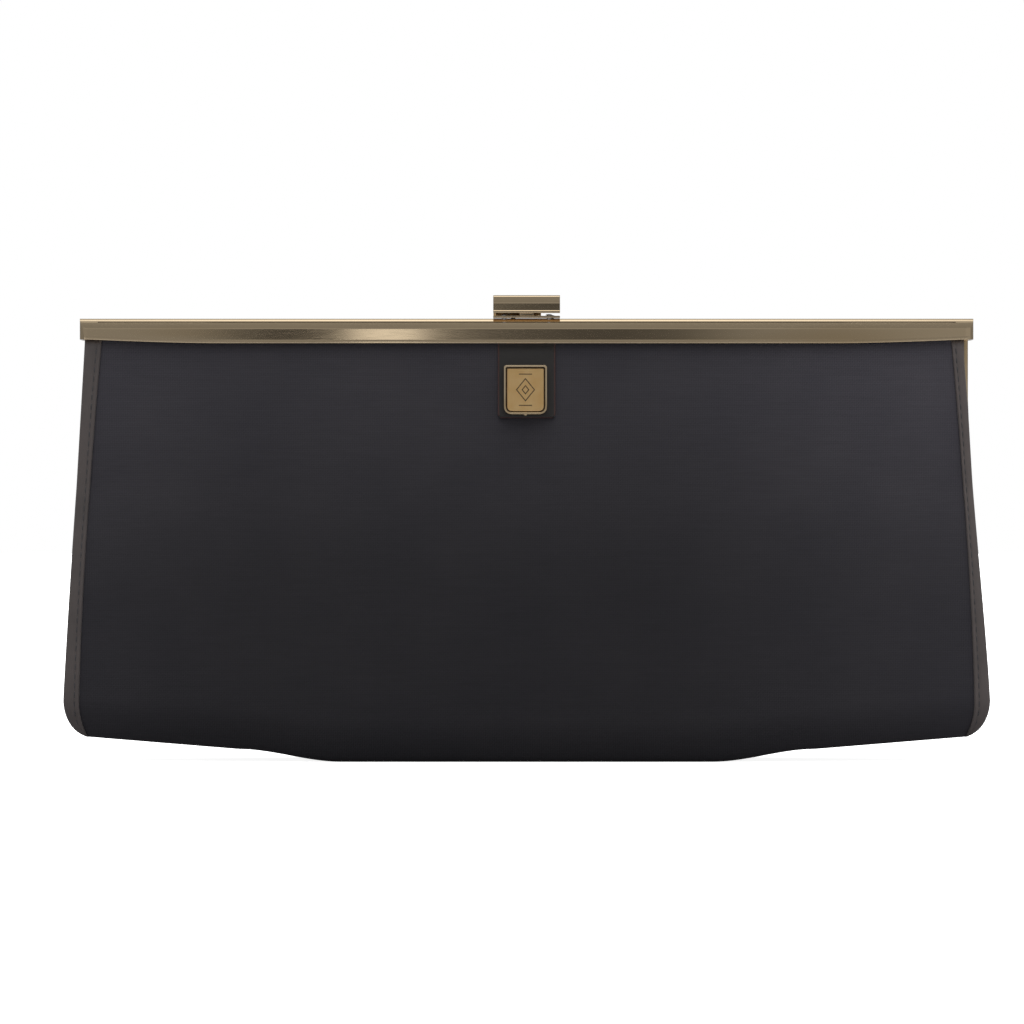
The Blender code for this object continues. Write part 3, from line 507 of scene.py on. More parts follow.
def prism(name, outline, low, high, finishes, place=None):
    """A solid from a flat outline, from low to high across it. place(a, b, across) gives a point."""
    if place is None:
        def place(a, b, across):
            return Vector((across, a, b))
    shape = bmesh.new()
    corners = [shape.verts.new(place(a, b, low)) for a, b in outline]
    face = shape.faces.new(corners)
    raised = bmesh.ops.extrude_face_region(shape, geom=[face])["geom"]
    shift = place(0, 0, high) - place(0, 0, low)
    bmesh.ops.translate(
        shape, vec=shift, verts=[part for part in raised if isinstance(part, bmesh.types.BMVert)]
    )
    bmesh.ops.remove_doubles(shape, verts=shape.verts, dist=0.001 * MM)
    bmesh.ops.recalc_face_normals(shape, faces=shape.faces)
    return settle(name, shape, finishes)


def box_piece(name, low, high, finishes):
    cube = bmesh.new()
    bmesh.ops.create_cube(cube, size=1)
    for corner in cube.verts:
        corner.co = [a + (c + 0.5) * (b - a) for a, b, c in zip(low, high, corner.co)]
    return settle(name, cube, finishes)


def rod_piece(name, radius, start, end, finishes, segments=24):
    start = Vector(start)
    end = Vector(end)
    cylinder = bmesh.new()
    length = (end - start).length
    bmesh.ops.create_cone(
        cylinder, cap_ends=True, segments=segments, radius1=radius, radius2=radius, depth=length
    )
    turn = (end - start).to_track_quat("Z", "Y").to_matrix().to_4x4()
    bmesh.ops.transform(cylinder, matrix=turn, verts=cylinder.verts)
    bmesh.ops.translate(cylinder, vec=(start + end) / 2, verts=cylinder.verts)
    return settle(name, cylinder, finishes)


def carve(piece, cutter, operation="DIFFERENCE"):
    """Cuts one mesh by another, which is then removed."""
    joint = piece.modifiers.new("Carve", "BOOLEAN")
    joint.operation = operation
    joint.object = cutter
    joint.material_mode = "TRANSFER"
    graph = bpy.context.evaluated_depsgraph_get()
    carved = bpy.data.meshes.new_from_object(piece.evaluated_get(graph))
    piece.modifiers.clear()
    piece.data = carved
    bpy.data.objects.remove(cutter, do_unlink=True)


def ease_edges(piece, width, segments=2, angle=30):
    """Rounds a metal piece's sharp edges and shades it as one smooth surface."""
    piece.data.shade_smooth()
    edge = piece.modifiers.new("Eased_edges", "BEVEL")
    edge.width = width
    edge.segments = segments
    edge.limit_method = "ANGLE"
    edge.angle_limit = math.radians(angle)
    shading = piece.modifiers.new("Flat_faces_flat", "WEIGHTED_NORMAL")
    shading.weight = 90
    return piece


def join(pieces):
    """Joins finished pieces into the first one."""
    whole = bmesh.new()
    first = pieces[0]
    for piece in pieces:
        whole.from_mesh(piece.data)
    whole.to_mesh(first.data)
    whole.free()
    for piece in pieces[1:]:
        bpy.data.objects.remove(piece, do_unlink=True)
    return first


def refined_copy(node, name, finishes, width):
    """A CAD node's shape with its facets merged and its edges eased."""
    shape = bmesh.new()
    shape.from_mesh(frame["nodes"][node].data)
    bmesh.ops.remove_doubles(shape, verts=shape.verts, dist=0.002 * MM)
    bmesh.ops.dissolve_limit(
        shape, angle_limit=math.radians(1), verts=shape.verts, edges=shape.edges
    )
    return ease_edges(settle(name, shape, finishes), width)


# ---- Body surface -----------------------------------------------------------------------------


def base_rise(x):
    """Height of the base's underside: flat at the middle, with ends that rise."""
    x = abs(x)
    step = STEP_RISE * smooth((x - FLAT_BASE) / (STEP_END - FLAT_BASE))
    return step + END_SLOPE * max(x - STEP_END, 0)


END_RISE = base_rise(WIDEST)


def side_line(z):
    """The straight side line, before its bottom corner is rounded."""
    return WIDEST - SIDE_TAPER * (z - WIDEST_Z)


def half_width(z):
    below = clamp((END_RISE + CORNER_HEIGHT - z) / CORNER_HEIGHT)
    return side_line(z) - CORNER_WIDTH * (1 - math.sqrt(1 - below * below))


def middle_depth(z):
    if z >= BAR_CLOTH_Z:
        return BAR_CLOTH_DEPTH
    if z >= HINGE_Z:
        return mix(HINGE_DEPTH, BAR_CLOTH_DEPTH, (z - HINGE_Z) / (BAR_CLOTH_Z - HINGE_Z))
    swell = clamp((z - FULL_Z) / (HINGE_Z - FULL_Z))
    return mix(FULL_DEPTH, HINGE_DEPTH, swell**1.6)


def half_depth(x, z):
    """From the middle plane to the outer face of the cloth."""
    squeeze = EDGE_SQUEEZE * clamp((BAR_CLOTH_Z - z) / (BAR_CLOTH_Z - HINGE_Z))
    tuck = BASE_TUCK * (1 - clamp((z - base_rise(x)) / BASE_ROUNDING)) ** 2
    return middle_depth(z) - tuck - squeeze * clamp(abs(x) / half_width(z)) ** 4


def bend_over_hinge(piece, face, slot, *nodes):
    """For a piece that lies on the bag below the hinge line and on a frame half above it: hides its
    CAD nodes and bakes its placement into its mesh.
    """
    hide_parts(*nodes)
    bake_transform(piece)
    return piece


# ---- Cloth ------------------------------------------------------------------------------------

EDGE_ROUND = 3.5 * MM  # radius of the fold from the panels to the base
EDGE_TURN = math.radians(27)  # the panel's own lean where that fold starts
UNDER_RUN = 2.5 * MM  # how far a panel runs on under the base
FOLD_DEPTH = EDGE_ROUND * math.cos(EDGE_TURN)
FOLD_HEIGHT = EDGE_ROUND * (1 - math.sin(EDGE_TURN))


SEAM_WIDTH = 4.6 * MM
SEAM_NARROWEST_Z = 75 * MM
SEAM_FLARE = 1.2 * MM  # how much wider a strip is at the bar, this far above
SEAM_FLARE_REACH = 65 * MM
SEAM_CORNER_FLARE = 2.6 * MM
SEAM_OVERLAP = 1.2 * MM  # how far the cloth runs in under a strip
CLOTH_INSET = 1.1 * MM
CLOTH_CORNER_INSET = 2.5 * MM
HINGE_INSET = 1.4 * MM  # how far edges draw in towards the hinge line to clear the arms
RIPPLE = 0.16 * MM


def seam_width(z):
    """Width of a leather strip: widest under the bar and round the bottom corner."""
    flare = SEAM_FLARE * ((z - SEAM_NARROWEST_Z) / SEAM_FLARE_REACH) ** 2
    return SEAM_WIDTH + flare + SEAM_CORNER_FLARE * ramp(z, 20, 8) ** 2


def cloth_edge(z):
    """Half the cloth's width: it ends under the leather strips, and inside the arms."""
    lower = half_width(z) - CLOTH_INSET - CLOTH_CORNER_INSET * ramp(z, 16, 10.7)
    lower -= HINGE_INSET * ease(z, 15, 100)
    upper = max(side_line(z) - seam_width(z) + SEAM_OVERLAP, UPPER_HALF_WIDTH)
    return mix(lower, upper, ease(z, 76, 88))


def ripple(x, z):
    """Slight unevenness of cloth glued over board, fading out at its held edges."""
    free = ease(z, 14, 36) * ease(z, 136, 110) * ease(abs(x), 140, 114)
    swell = math.sin(x * 47 + 2.1 * math.sin(z * 31)) + 0.6 * math.sin(x * 23 - z * 61 + 1.3)
    return RIPPLE * swell * free


def make_body_cloth():
    """One panel on each face: from under the base, round the fold and up into the bar."""
    under_rows = 3
    turn_rows = 7
    face_rows = 74
    rows = under_rows + turn_rows + face_rows
    closer = 1.25  # rows lie closer together towards the fold

    for face in (FRONT, REAR):

        def place(u, row, face=face):
            index = row * rows
            share = clamp((index - under_rows - turn_rows) / face_rows)
            end_z = mix(END_RISE + FOLD_HEIGHT, CLOTH_TOP, share**closer)
            x = -face * u * cloth_edge(end_z)
            z = mix(base_rise(x) + FOLD_HEIGHT, CLOTH_TOP, share**closer)
            depth = half_depth(x, z)
            if index >= under_rows + turn_rows:
                return Vector((x, face * (depth + ripple(x, z)), z))
            turned = clamp((index - under_rows) / turn_rows)
            angle = mix(math.pi / 2, EDGE_TURN, turned)
            inward = FOLD_DEPTH - EDGE_ROUND * math.cos(angle)
            inward += UNDER_RUN * (1 - clamp(index / under_rows))
            height = EDGE_ROUND * (1 - math.sin(angle))
            return Vector((x, face * (depth - inward), base_rise(x) + height))

        name = FACE_NAMES[face]
        cloth = weave_sheet(name + "_cloth", 150, rows, place, (0, face, 0), CLOTH, [BLACK_CLOTH])
        bend_over_hinge(cloth, face, "black_cloth", name + "_panel_lower", name + "_panel_upper")


def make_base_cloth():
    """The strip between the two panels, whose ends turn up behind the leather corners."""
    turn_start = 146 * MM
    turn_radius = 7.5 * MM
    reach = 151 * MM
    seam = FOLD_DEPTH + UNDER_RUN + 0.15 * MM

    def place(u, row):
        run = u * reach
        x = math.copysign(min(abs(run), turn_start), run)
        angle = max(abs(run) - turn_start, 0) / turn_radius
        z = base_rise(x) + turn_radius * (1 - math.cos(angle))
        depth = half_depth(x, base_rise(x) + FOLD_HEIGHT) - seam
        x += math.copysign(turn_radius * math.sin(angle), run)
        return Vector((x, (2 * row - 1) * depth, z))

    cloth = weave_sheet("base_cloth", 120, 8, place, (0, 0, -1), CLOTH, [BLACK_CLOTH], (0, 1))
    give(cloth, "black_cloth", "bag", "base_panel")


# ---- Leather edges ----------------------------------------------------------------------------

STRIP_TOP = 141.2 * MM
STRIP_CORNER_Z = END_RISE + CORNER_HEIGHT
STRIP_CORNER_TURN = math.radians(72)
STRIP_INNER_END = 8.3 * MM
STRIP_STRAIGHT = 0.84  # share of a strip's rows above its corner
STRIP_LEATHER = 0.4 * MM
# Section of a strip in mm: distance from its inner seam and height over the cloth. The first
# points are the turned-in edge, a ridge and the groove that the stitches lie in.
STRIP_SEAM = ((0, 0.02), (0.1, 0.45), (0.4, 0.8), (0.85, 0.88), (1.25, 0.68), (1.6, 0.6))
STRIP_SEAM += ((1.95, 0.68), (2.4, 0.84))
STRIP_FLAT_COLUMNS = 3
STRIP_HEIGHT = 0.88
# The same at its outer edge, as the distance inside that edge.
STRIP_EDGE = ((1.6, 0.86), (0.9, 0.8), (0.4, 0.58), (0.12, 0.25), (0, -0.2))
STRIP_RETURN = (0.25, 0.5, 0.75, 1)  # shares of the way in round the edge
STRIP_FULL_WIDTH = 5.2 * MM  # a narrower strip has the same section drawn in
STITCH_LINE = 1.6 * MM
STITCH_PITCH = 3.1 * MM
STITCH_LIFT = 0.62 * MM
STITCH_SIZE = (0.2 * MM, 0.17 * MM, 1.2 * MM)  # half its width, height and length


ARM_INNER_EDGE = 146.8 * MM


def strip_outer_x(face, side, z):
    """A strip's outer edge. At the front right it stands back to show the rear arm behind it."""
    outer = side_line(z)
    if face == FRONT and side == RIGHT:
        outer -= HINGE_INSET * ease(z, 15, 100)
        beside_arm = mix(148.8 * MM, ARM_INNER_EDGE, (z - 106 * MM) / (28 * MM))
        outer = min(outer, max(beside_arm, ARM_INNER_EDGE))
    return outer


def strip_row(face, side, row):
    """The outer and inner points of a strip at a share of the way down, as (x, z)."""
    if row <= STRIP_STRAIGHT:
        z = mix(STRIP_TOP, STRIP_CORNER_Z, row / STRIP_STRAIGHT)
        return (strip_outer_x(face, side, z), z), (side_line(z) - seam_width(z), z)
    turned = (row - STRIP_STRAIGHT) / (1 - STRIP_STRAIGHT)
    angle = STRIP_CORNER_TURN * turned
    centre = side_line(STRIP_CORNER_Z) - CORNER_WIDTH
    outer_x = centre + CORNER_WIDTH * math.cos(angle)
    outer_z = STRIP_CORNER_Z - CORNER_HEIGHT * math.sin(angle)
    inner_z = mix(STRIP_CORNER_Z, STRIP_INNER_END, turned)
    return (outer_x, outer_z), (side_line(inner_z) - seam_width(inner_z), inner_z)


def make_strips():
    """Strips over the panels' side edges, turned in at the outer edge and under the corner."""
    rows = 64
    under = ((0.3, 0.1), (1.2, 0.16), (3, 0.16))  # rows that turn in under the corner, in mm
    edge_start = len(STRIP_SEAM) + STRIP_FLAT_COLUMNS
    return_start = edge_start + len(STRIP_EDGE)
    columns = return_start + len(STRIP_RETURN) - 1

    for face in (FRONT, REAR):
        for side in (LEFT, RIGHT):

            def place(u, row, face=face, side=side):
                index = round(row * (rows + len(under)))
                (outer_x, outer_z), (inner_x, inner_z) = strip_row(face, side, min(index / rows, 1))
                width = outer_x - inner_x
                scale = min(1, width / STRIP_FULL_WIDTH) * MM
                spot = round((u + 1) / 2 * columns)
                turned = 0
                if spot < len(STRIP_SEAM):
                    across, lift = STRIP_SEAM[spot]
                    across *= scale / width
                elif spot < edge_start:
                    share = (spot - len(STRIP_SEAM) + 1) / (STRIP_FLAT_COLUMNS + 1)
                    start = STRIP_SEAM[-1][0] * scale / width
                    across = mix(start, 1 - STRIP_EDGE[0][0] * scale / width, share)
                    lift = STRIP_HEIGHT
                elif spot < return_start:
                    inside, lift = STRIP_EDGE[spot - edge_start]
                    across = 1 - inside * scale / width
                else:
                    across = 1
                    lift = STRIP_EDGE[-1][1]
                    turned = STRIP_RETURN[spot - return_start]
                x = mix(inner_x, outer_x, across)
                z = mix(inner_z, outer_z, across)
                reach = mix(3.3 * MM, 0.35 * MM, ease(z, 80, 94))
                thin = mix(1, 0.5, ease(z, 138, 141))
                depth = half_depth(x, z) + lift * MM * thin - turned * reach
                if index > rows:
                    inward, drop = under[index - rows - 1]
                    depth -= inward * MM * (1 - turned)
                    z -= drop * MM
                return Vector((side * x, face * depth, z))

            name = "{}_leather_strip_{}".format(FACE_NAMES[face], SIDE_NAMES[side])
            strip = weave_sheet(
                name,
                columns,
                rows + len(under),
                place,
                (0, face, 0),
                STRIP_LEATHER,
                [BLACK_LEATHER],
            )
            node = "{}_binding_{{}}_{}".format(FACE_NAMES[face], SIDE_NAMES[side])
            bend_over_hinge(strip, face, "black_leather", node.format("lower"), node.format("upper"))
            make_strip_stitches(face, side)


def stitches(name, places, finish):
    """One thread's stitches: each place is (middle, along, out), and lies half sunk in the piece."""
    whole = bmesh.new()
    for middle, along, out in places:
        before = set(whole.verts)
        bmesh.ops.create_uvsphere(whole, u_segments=6, v_segments=4, radius=1)
        made = [vertex for vertex in whole.verts if vertex not in before]
        across = along.cross(out)
        for vertex in made:
            a, b, c = [value * half for value, half in zip(vertex.co, STITCH_SIZE)]
            vertex.co = middle + across * a + out * b + along * c
    bmesh.ops.recalc_face_normals(whole, faces=whole.faces)
    for face in whole.faces:
        face.smooth = True
    return settle(name, whole, [finish])


def make_strip_stitches(face, side):
    places = []
    nearby = 1 * MM

    def on_strip(x, z):
        return Vector((side * x, face * (half_depth(x, z) + STITCH_LIFT), z))

    z = STRIP_TOP - 4 * MM
    while z > 10 * MM:
        width = strip_outer_x(face, side, z) - side_line(z) + seam_width(z)
        inset = STITCH_LINE * min(1, width / STRIP_FULL_WIDTH)
        x = side_line(z) - seam_width(z) + inset
        point = on_strip(x, z)
        low_x = side_line(z - nearby) - seam_width(z - nearby) + inset
        along = (point - on_strip(low_x, z - nearby)).normalized()
        out = (Vector((0, face, 0)) - along * face * along.y).normalized()
        places.append((point, along, out))
        z -= STITCH_PITCH
    name = "{}_strip_stitches_{}".format(FACE_NAMES[face], SIDE_NAMES[side])
    thread = stitches(name, places, BLACK_THREAD)
    bend_over_hinge(thread, face, "black_leather")


# ---- Gussets ----------------------------------------------------------------------------------

GUSSET_BOTTOM = 9.2 * MM
GUSSET_TOP = 138.6 * MM
GUSSET_DIP = 22 * MM  # the gusset's top edge drops towards its crease
GUSSET_LEATHER = 0.5 * MM
GUSSET_CRUMPLE = 0.5 * MM


def gusset_edge(z):
    """How far out the gusset reaches: to the strips below, and inside the arms above."""
    return mix(half_width(z) - 1.4 * MM, UPPER_HALF_WIDTH, ease(z, 78, 86.5))


def gusset_fold(z):
    """How deep the gusset folds in towards the middle of the purse."""
    return mix(2 * MM, 18 * MM, ramp(z, 10, 87)) + 0.17 * max(z - 87 * MM, 0)


def make_gussets():
    """Each gusset is two leaves, which share the crease at the middle plane."""
    rows = 46
    for side in (LEFT, RIGHT):
        for face in (FRONT, REAR):

            def place(u, row, face=face, side=side):
                out = (u + 1) / 2
                top = GUSSET_TOP - GUSSET_DIP * (1 - out) ** 1.3
                z = mix(GUSSET_BOTTOM, top, row**1.35)
                edge = gusset_edge(z)
                room = mix(2.6 * MM, 3.35 * MM, ease(z, 80, 88))
                x = edge - gusset_fold(z) * (1 - out**1.5)
                crumple = GUSSET_CRUMPLE * math.sin(z * 260 + out * 5) * out * (1 - out)
                y = out * (half_depth(edge, z) - room) + crumple
                return Vector((side * x, face * y, z))

            name = "gusset_leaf_{}_{}".format(FACE_NAMES[face], SIDE_NAMES[side])
            leaf = weave_sheet(
                name,
                14,
                rows,
                place,
                (side, 0, 0),
                GUSSET_LEATHER,
                [BLACK_LEATHER, LINING_TWILL],
                (1, 2),
            )
            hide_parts("gusset_" + SIDE_NAMES[side])
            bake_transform(leaf)


# ---- Lining -----------------------------------------------------------------------------------

LINING = 0.6 * MM
LINING_RISE = 3.8 * MM  # from the base's underside to the lining's bottom
LINING_DEEP = 3.5 * MM
LINING_SHALLOW = 2 * MM
POUCH_MARGIN = 3.6 * MM


def pouch_end(z):
    return gusset_edge(z) - gusset_fold(z) - POUCH_MARGIN


def lining_inset(x, z):
    """From the cloth's outer face to the lining's visible face: over the board, then the cloth."""
    plate_room = 1 * MM * ramp(abs(x), 45, 25) * ramp(z, 140, 135)
    return mix(LINING_DEEP, LINING_SHALLOW + plate_room, ease(z, 86, 97))


def lining_slack(x, z):
    """Soft upright folds where the lining hangs free of the board."""
    free = ease(z, 12, 32) * ease(z, 132, 102)
    return 0.28 * MM * free * (1 + math.sin(x * 92 + 1.5 * math.sin(z * 40)))


def make_lining_leaves():
    top = CLOTH_TOP - 0.2 * MM
    for face in (FRONT, REAR):

        def place(u, row, face=face):
            share = row**1.3
            end_z = mix(END_RISE + LINING_RISE, top, share)
            x = face * u * mix(pouch_end(end_z), UPPER_HALF_WIDTH, ease(end_z, 86, 97))
            z = mix(base_rise(x) + LINING_RISE, top, share)
            return Vector((x, face * (half_depth(x, z) - lining_inset(x, z) - lining_slack(x, z)), z))

        name = FACE_NAMES[face]
        leaf = weave_sheet(name + "_lining", 110, 60, place, (0, -face, 0), LINING, [LINING_TWILL])
        bend_over_hinge(leaf, face, "lining_cloth", name + "_lining_upper")


def make_lining_floor():
    """One strip: down one end of the pouch, along its floor and up the other end."""
    end_top = 88 * MM
    end_rows = 22
    floor_rows = 60
    rows = 2 * end_rows + floor_rows
    corner = pouch_end(END_RISE + LINING_RISE)

    def place(u, row):
        index = row * rows
        beyond = max(end_rows - index, index - end_rows - floor_rows, 0)
        along = clamp((index - end_rows) / floor_rows) * 2 - 1
        if beyond > 0:
            z = mix(base_rise(corner) + LINING_RISE, end_top, beyond / end_rows)
            x = math.copysign(pouch_end(z), along)
        else:
            x = along * corner
            z = base_rise(x) + LINING_RISE
        return Vector((x, u * (half_depth(x, z) - LINING_DEEP), z))

    strip = weave_sheet("lining_floor", 6, rows, place, (0, 0, 1), LINING, [LINING_TWILL], (0, 1))
    give(strip, "lining_cloth", "bag", "lining_pouch")


POCKET_HALF = 70 * MM
POCKET_BOTTOM = 16 * MM
POCKET_TOP = 80.5 * MM
POCKET_DEEP = 4.75 * MM  # from the cloth's outer face to the pocket's
HEM = 9 * MM
HEM_LIFT = 0.45 * MM
POCKET_SEAM = 1.5 * MM
THREAD_LIFT = 0.47 * MM  # stitches on the hem lie this far off the pocket's face


def pocket_point(x, z, lift):
    """A point on the slip pocket's face, lift in front of it, towards the middle of the purse."""
    mouth = 0.9 * MM * ramp(z, 48, 80) * (1 - (x / POCKET_HALF) ** 4)
    return Vector((x, half_depth(x, z) - POCKET_DEEP - mouth - lift, z))


def make_slip_pocket():
    """A flat pocket on the rear lining, with a doubled hem at its mouth, sewn on three sides."""
    inward = Vector((0, -1, 0))

    def place(u, row):
        z = mix(POCKET_BOTTOM, POCKET_TOP, row)
        return pocket_point(u * POCKET_HALF, z, 0)

    pocket = weave_sheet("slip_pocket", 60, 30, place, inward, 0.5 * MM, [LINING_TWILL])
    give(pocket, "lining_cloth", "bag", "inner_slip_pocket")

    def place_hem(u, row):
        z = mix(POCKET_TOP - HEM, POCKET_TOP + 0.3 * MM, row)
        return pocket_point(u * (POCKET_HALF - 0.3 * MM), z, HEM_LIFT * min(1, 8 * row + 0.1))

    hem = weave_sheet("slip_pocket_hem", 60, 8, place_hem, inward, 0.4 * MM, [LINING_TWILL])
    give(hem, "lining_cloth", "bag")
    places = []
    seam_half = POCKET_HALF - 3 * MM
    low = POCKET_BOTTOM + POCKET_SEAM
    count = round(2 * seam_half / STITCH_PITCH)
    for step in range(count + 1):
        x = mix(-seam_half, seam_half, step / count)
        for z, lift in ((low, 0), (POCKET_TOP - 7.5 * MM, THREAD_LIFT)):
            places.append((pocket_point(x, z, lift), Vector((1, 0, 0)), inward))
    count = round((POCKET_TOP - POCKET_BOTTOM - 3 * MM) / STITCH_PITCH)
    for side in (LEFT, RIGHT):
        for step in range(count + 1):
            z = mix(low, POCKET_TOP - POCKET_SEAM, step / count)
            x = side * (POCKET_HALF - POCKET_SEAM)
            lift = THREAD_LIFT if z > POCKET_TOP - HEM else 0
            along = (pocket_point(x, z + 1 * MM, 0) - pocket_point(x, z, 0)).normalized()
            out = (inward - along * inward.dot(along)).normalized()
            places.append((pocket_point(x, z, lift), along, out))
    give(stitches("slip_pocket_stitches", places, TAUPE_THREAD), "lining_cloth", "bag")


# ---- Leather patch and plaque -----------------------------------------------------------------

PATCH_HALF = 9.7 * MM
PATCH_BOTTOM = 114.6 * MM
PATCH_TOP = 143 * MM
PATCH_LIFT = 1.4 * MM
PATCH_CORNER = 1.2 * MM
PATCH_EDGE_ROUND = 0.9 * MM
PATCH_DYED_SIDE = 0.45 * MM
PATCH_DYED_FOOT = 0.4 * MM
CLOTH_LEAN = math.atan2(HINGE_DEPTH - BAR_CLOTH_DEPTH, BAR_CLOTH_Z - HINGE_Z)
PLAQUE_OUT = Vector((0, -math.cos(CLOTH_LEAN), math.sin(CLOTH_LEAN)))
PLAQUE_UP = Vector((0, math.sin(CLOTH_LEAN), math.cos(CLOTH_LEAN)))


def make_patch():
    """Skived thin where it goes up into the bar, with turned and dyed edges."""
    # Shares of the half width and of the height, closest at the rounded edges.
    across = (-1, -0.995, -0.98, -0.95, -0.9, -0.6, -0.3, 0, 0.3, 0.6, 0.9, 0.95, 0.98, 0.995, 1)
    upward = (0, 0.004, 0.013, 0.03, 0.06, 0.15, 0.3, 0.45, 0.6, 0.75, 0.82, 0.86, 0.9, 1)

    def place(u, row):
        share = upward[round(row * (len(upward) - 1))]
        side = across[round((u + 1) / 2 * (len(across) - 1))]
        z = mix(PATCH_BOTTOM, PATCH_TOP, share)
        corner = PATCH_CORNER * (1 - clamp((z - PATCH_BOTTOM) / PATCH_CORNER)) ** 2
        x = side * (PATCH_HALF - corner)
        from_edge = min(PATCH_HALF * (1 - abs(side)), z - PATCH_BOTTOM) / PATCH_EDGE_ROUND
        rounded = math.sqrt(1 - (1 - clamp(from_edge)) ** 2)
        thin = mix(1, 0.22, ease(z, 136.5, 139.1))
        return Vector((x, -half_depth(x, z) - PATCH_LIFT * thin * mix(0.05, 1, rounded), z))

    patch = weave_sheet(
        "plaque_patch_leather",
        len(across) - 1,
        len(upward) - 1,
        place,
        (0, -1, 0),
        0.3 * MM,
        [PATCH_LEATHER, BROWN_EDGE],
    )
    patch.modifiers["Thickness"].material_offset = 0
    patch.modifiers["Thickness"].material_offset_rim = 1
    for face in patch.data.polygons:
        at_side = abs(face.center.x) > PATCH_HALF - PATCH_DYED_SIDE
        if at_side or face.center.z < PATCH_BOTTOM + PATCH_DYED_FOOT:
            face.material_index = 1
    smoother = patch.modifiers.new("Supple", "SUBSURF")
    smoother.levels = 1
    smoother.render_levels = 1
    give(patch, "black_leather", "front_half", "plaque_patch")


def on_plaque(across, up, out):
    """A point measured from the plaque's centre on the cloth."""
    centre = Vector((PLAQUE_X, -middle_depth(PLAQUE_Z), PLAQUE_Z))
    return centre + Vector((across, 0, 0)) + up * PLAQUE_UP + out * PLAQUE_OUT


def plaque_outline(inset):
    """The plaque's outline: nearly square shoulders and well rounded lower corners."""
    side = PLAQUE_WIDTH / 2 - inset
    end = PLAQUE_HEIGHT / 2 - inset
    low = max(3 * MM - inset, 1.2 * MM)
    high = max(0.9 * MM - inset / 2, 0.4 * MM)
    return softened(
        ((side, -end, low), (side, end, high), (-side, end, high), (-side, -end, low)), steps=8
    )


def make_plaque():
    seat = PLAQUE_SEAT
    tray = prism("plaque_rim", plaque_outline(0), seat, seat + 1.8 * MM, [GILT], on_plaque)
    groove = prism(
        "groove", plaque_outline(0.7 * MM), seat + 0.9 * MM, seat + 3 * MM, [ENAMEL], on_plaque
    )
    carve(tray, groove)
    nub = bmesh.new()
    bmesh.ops.create_uvsphere(nub, u_segments=16, v_segments=10, radius=0.75 * MM)
    bmesh.ops.translate(
        nub, vec=on_plaque(0, -PLAQUE_HEIGHT / 2 + 0.25 * MM, seat + 0.9 * MM), verts=nub.verts
    )
    join([tray, settle("nub", nub, [GILT])])
    give(ease_edges(tray, 0.26 * MM, 4), "pale_gold", "front_half", "plaque_bezel")

    field = prism(
        "plaque_field",
        plaque_outline(1.05 * MM),
        seat + 0.85 * MM,
        seat + 1.5 * MM,
        [SATIN_GOLD],
        on_plaque,
    )
    give(ease_edges(field, 0.32 * MM, 3), "satin_gold", "front_half", "plaque_plate")
    make_plaque_ornament(seat + 1.5 * MM)


def make_plaque_ornament(top):
    """A plain engraved lozenge between short bars, filled with enamel."""
    line = 0.32 * MM
    sunk = 0.06 * MM
    proud = 0.02 * MM
    whole = None
    for width, height in ((6.4 * MM, 8 * MM), (2.6 * MM, 3.3 * MM)):
        outer = [(width / 2, 0), (0, height / 2), (-width / 2, 0), (0, -height / 2)]
        shrink = 1 - 2.6 * line / width
        inner = [(a * shrink, b * shrink) for a, b in outer]
        ring = prism("lozenge", outer, top - sunk, top + proud, [ENAMEL], on_plaque)
        hole = prism("hole", inner, top - 4 * sunk, top + 4 * sunk, [ENAMEL], on_plaque)
        carve(ring, hole)
        whole = join([whole, ring]) if whole else ring
    bars = []
    for up in (-5.3 * MM, 5.3 * MM):
        bar = softened(
            (
                (2.2 * MM, up - line / 2, 0.1 * MM),
                (2.2 * MM, up + line / 2, 0.1 * MM),
                (-2.2 * MM, up + line / 2, 0.1 * MM),
                (-2.2 * MM, up - line / 2, 0.1 * MM),
            )
        )
        bars.append(prism("bar", bar, top - sunk, top + proud, [ENAMEL], on_plaque))
    whole = join([whole, *bars])
    whole.name = "plaque_ornament"
    give(whole, "satin_gold", "front_half")


# ---- Bar frame --------------------------------------------------------------------------------


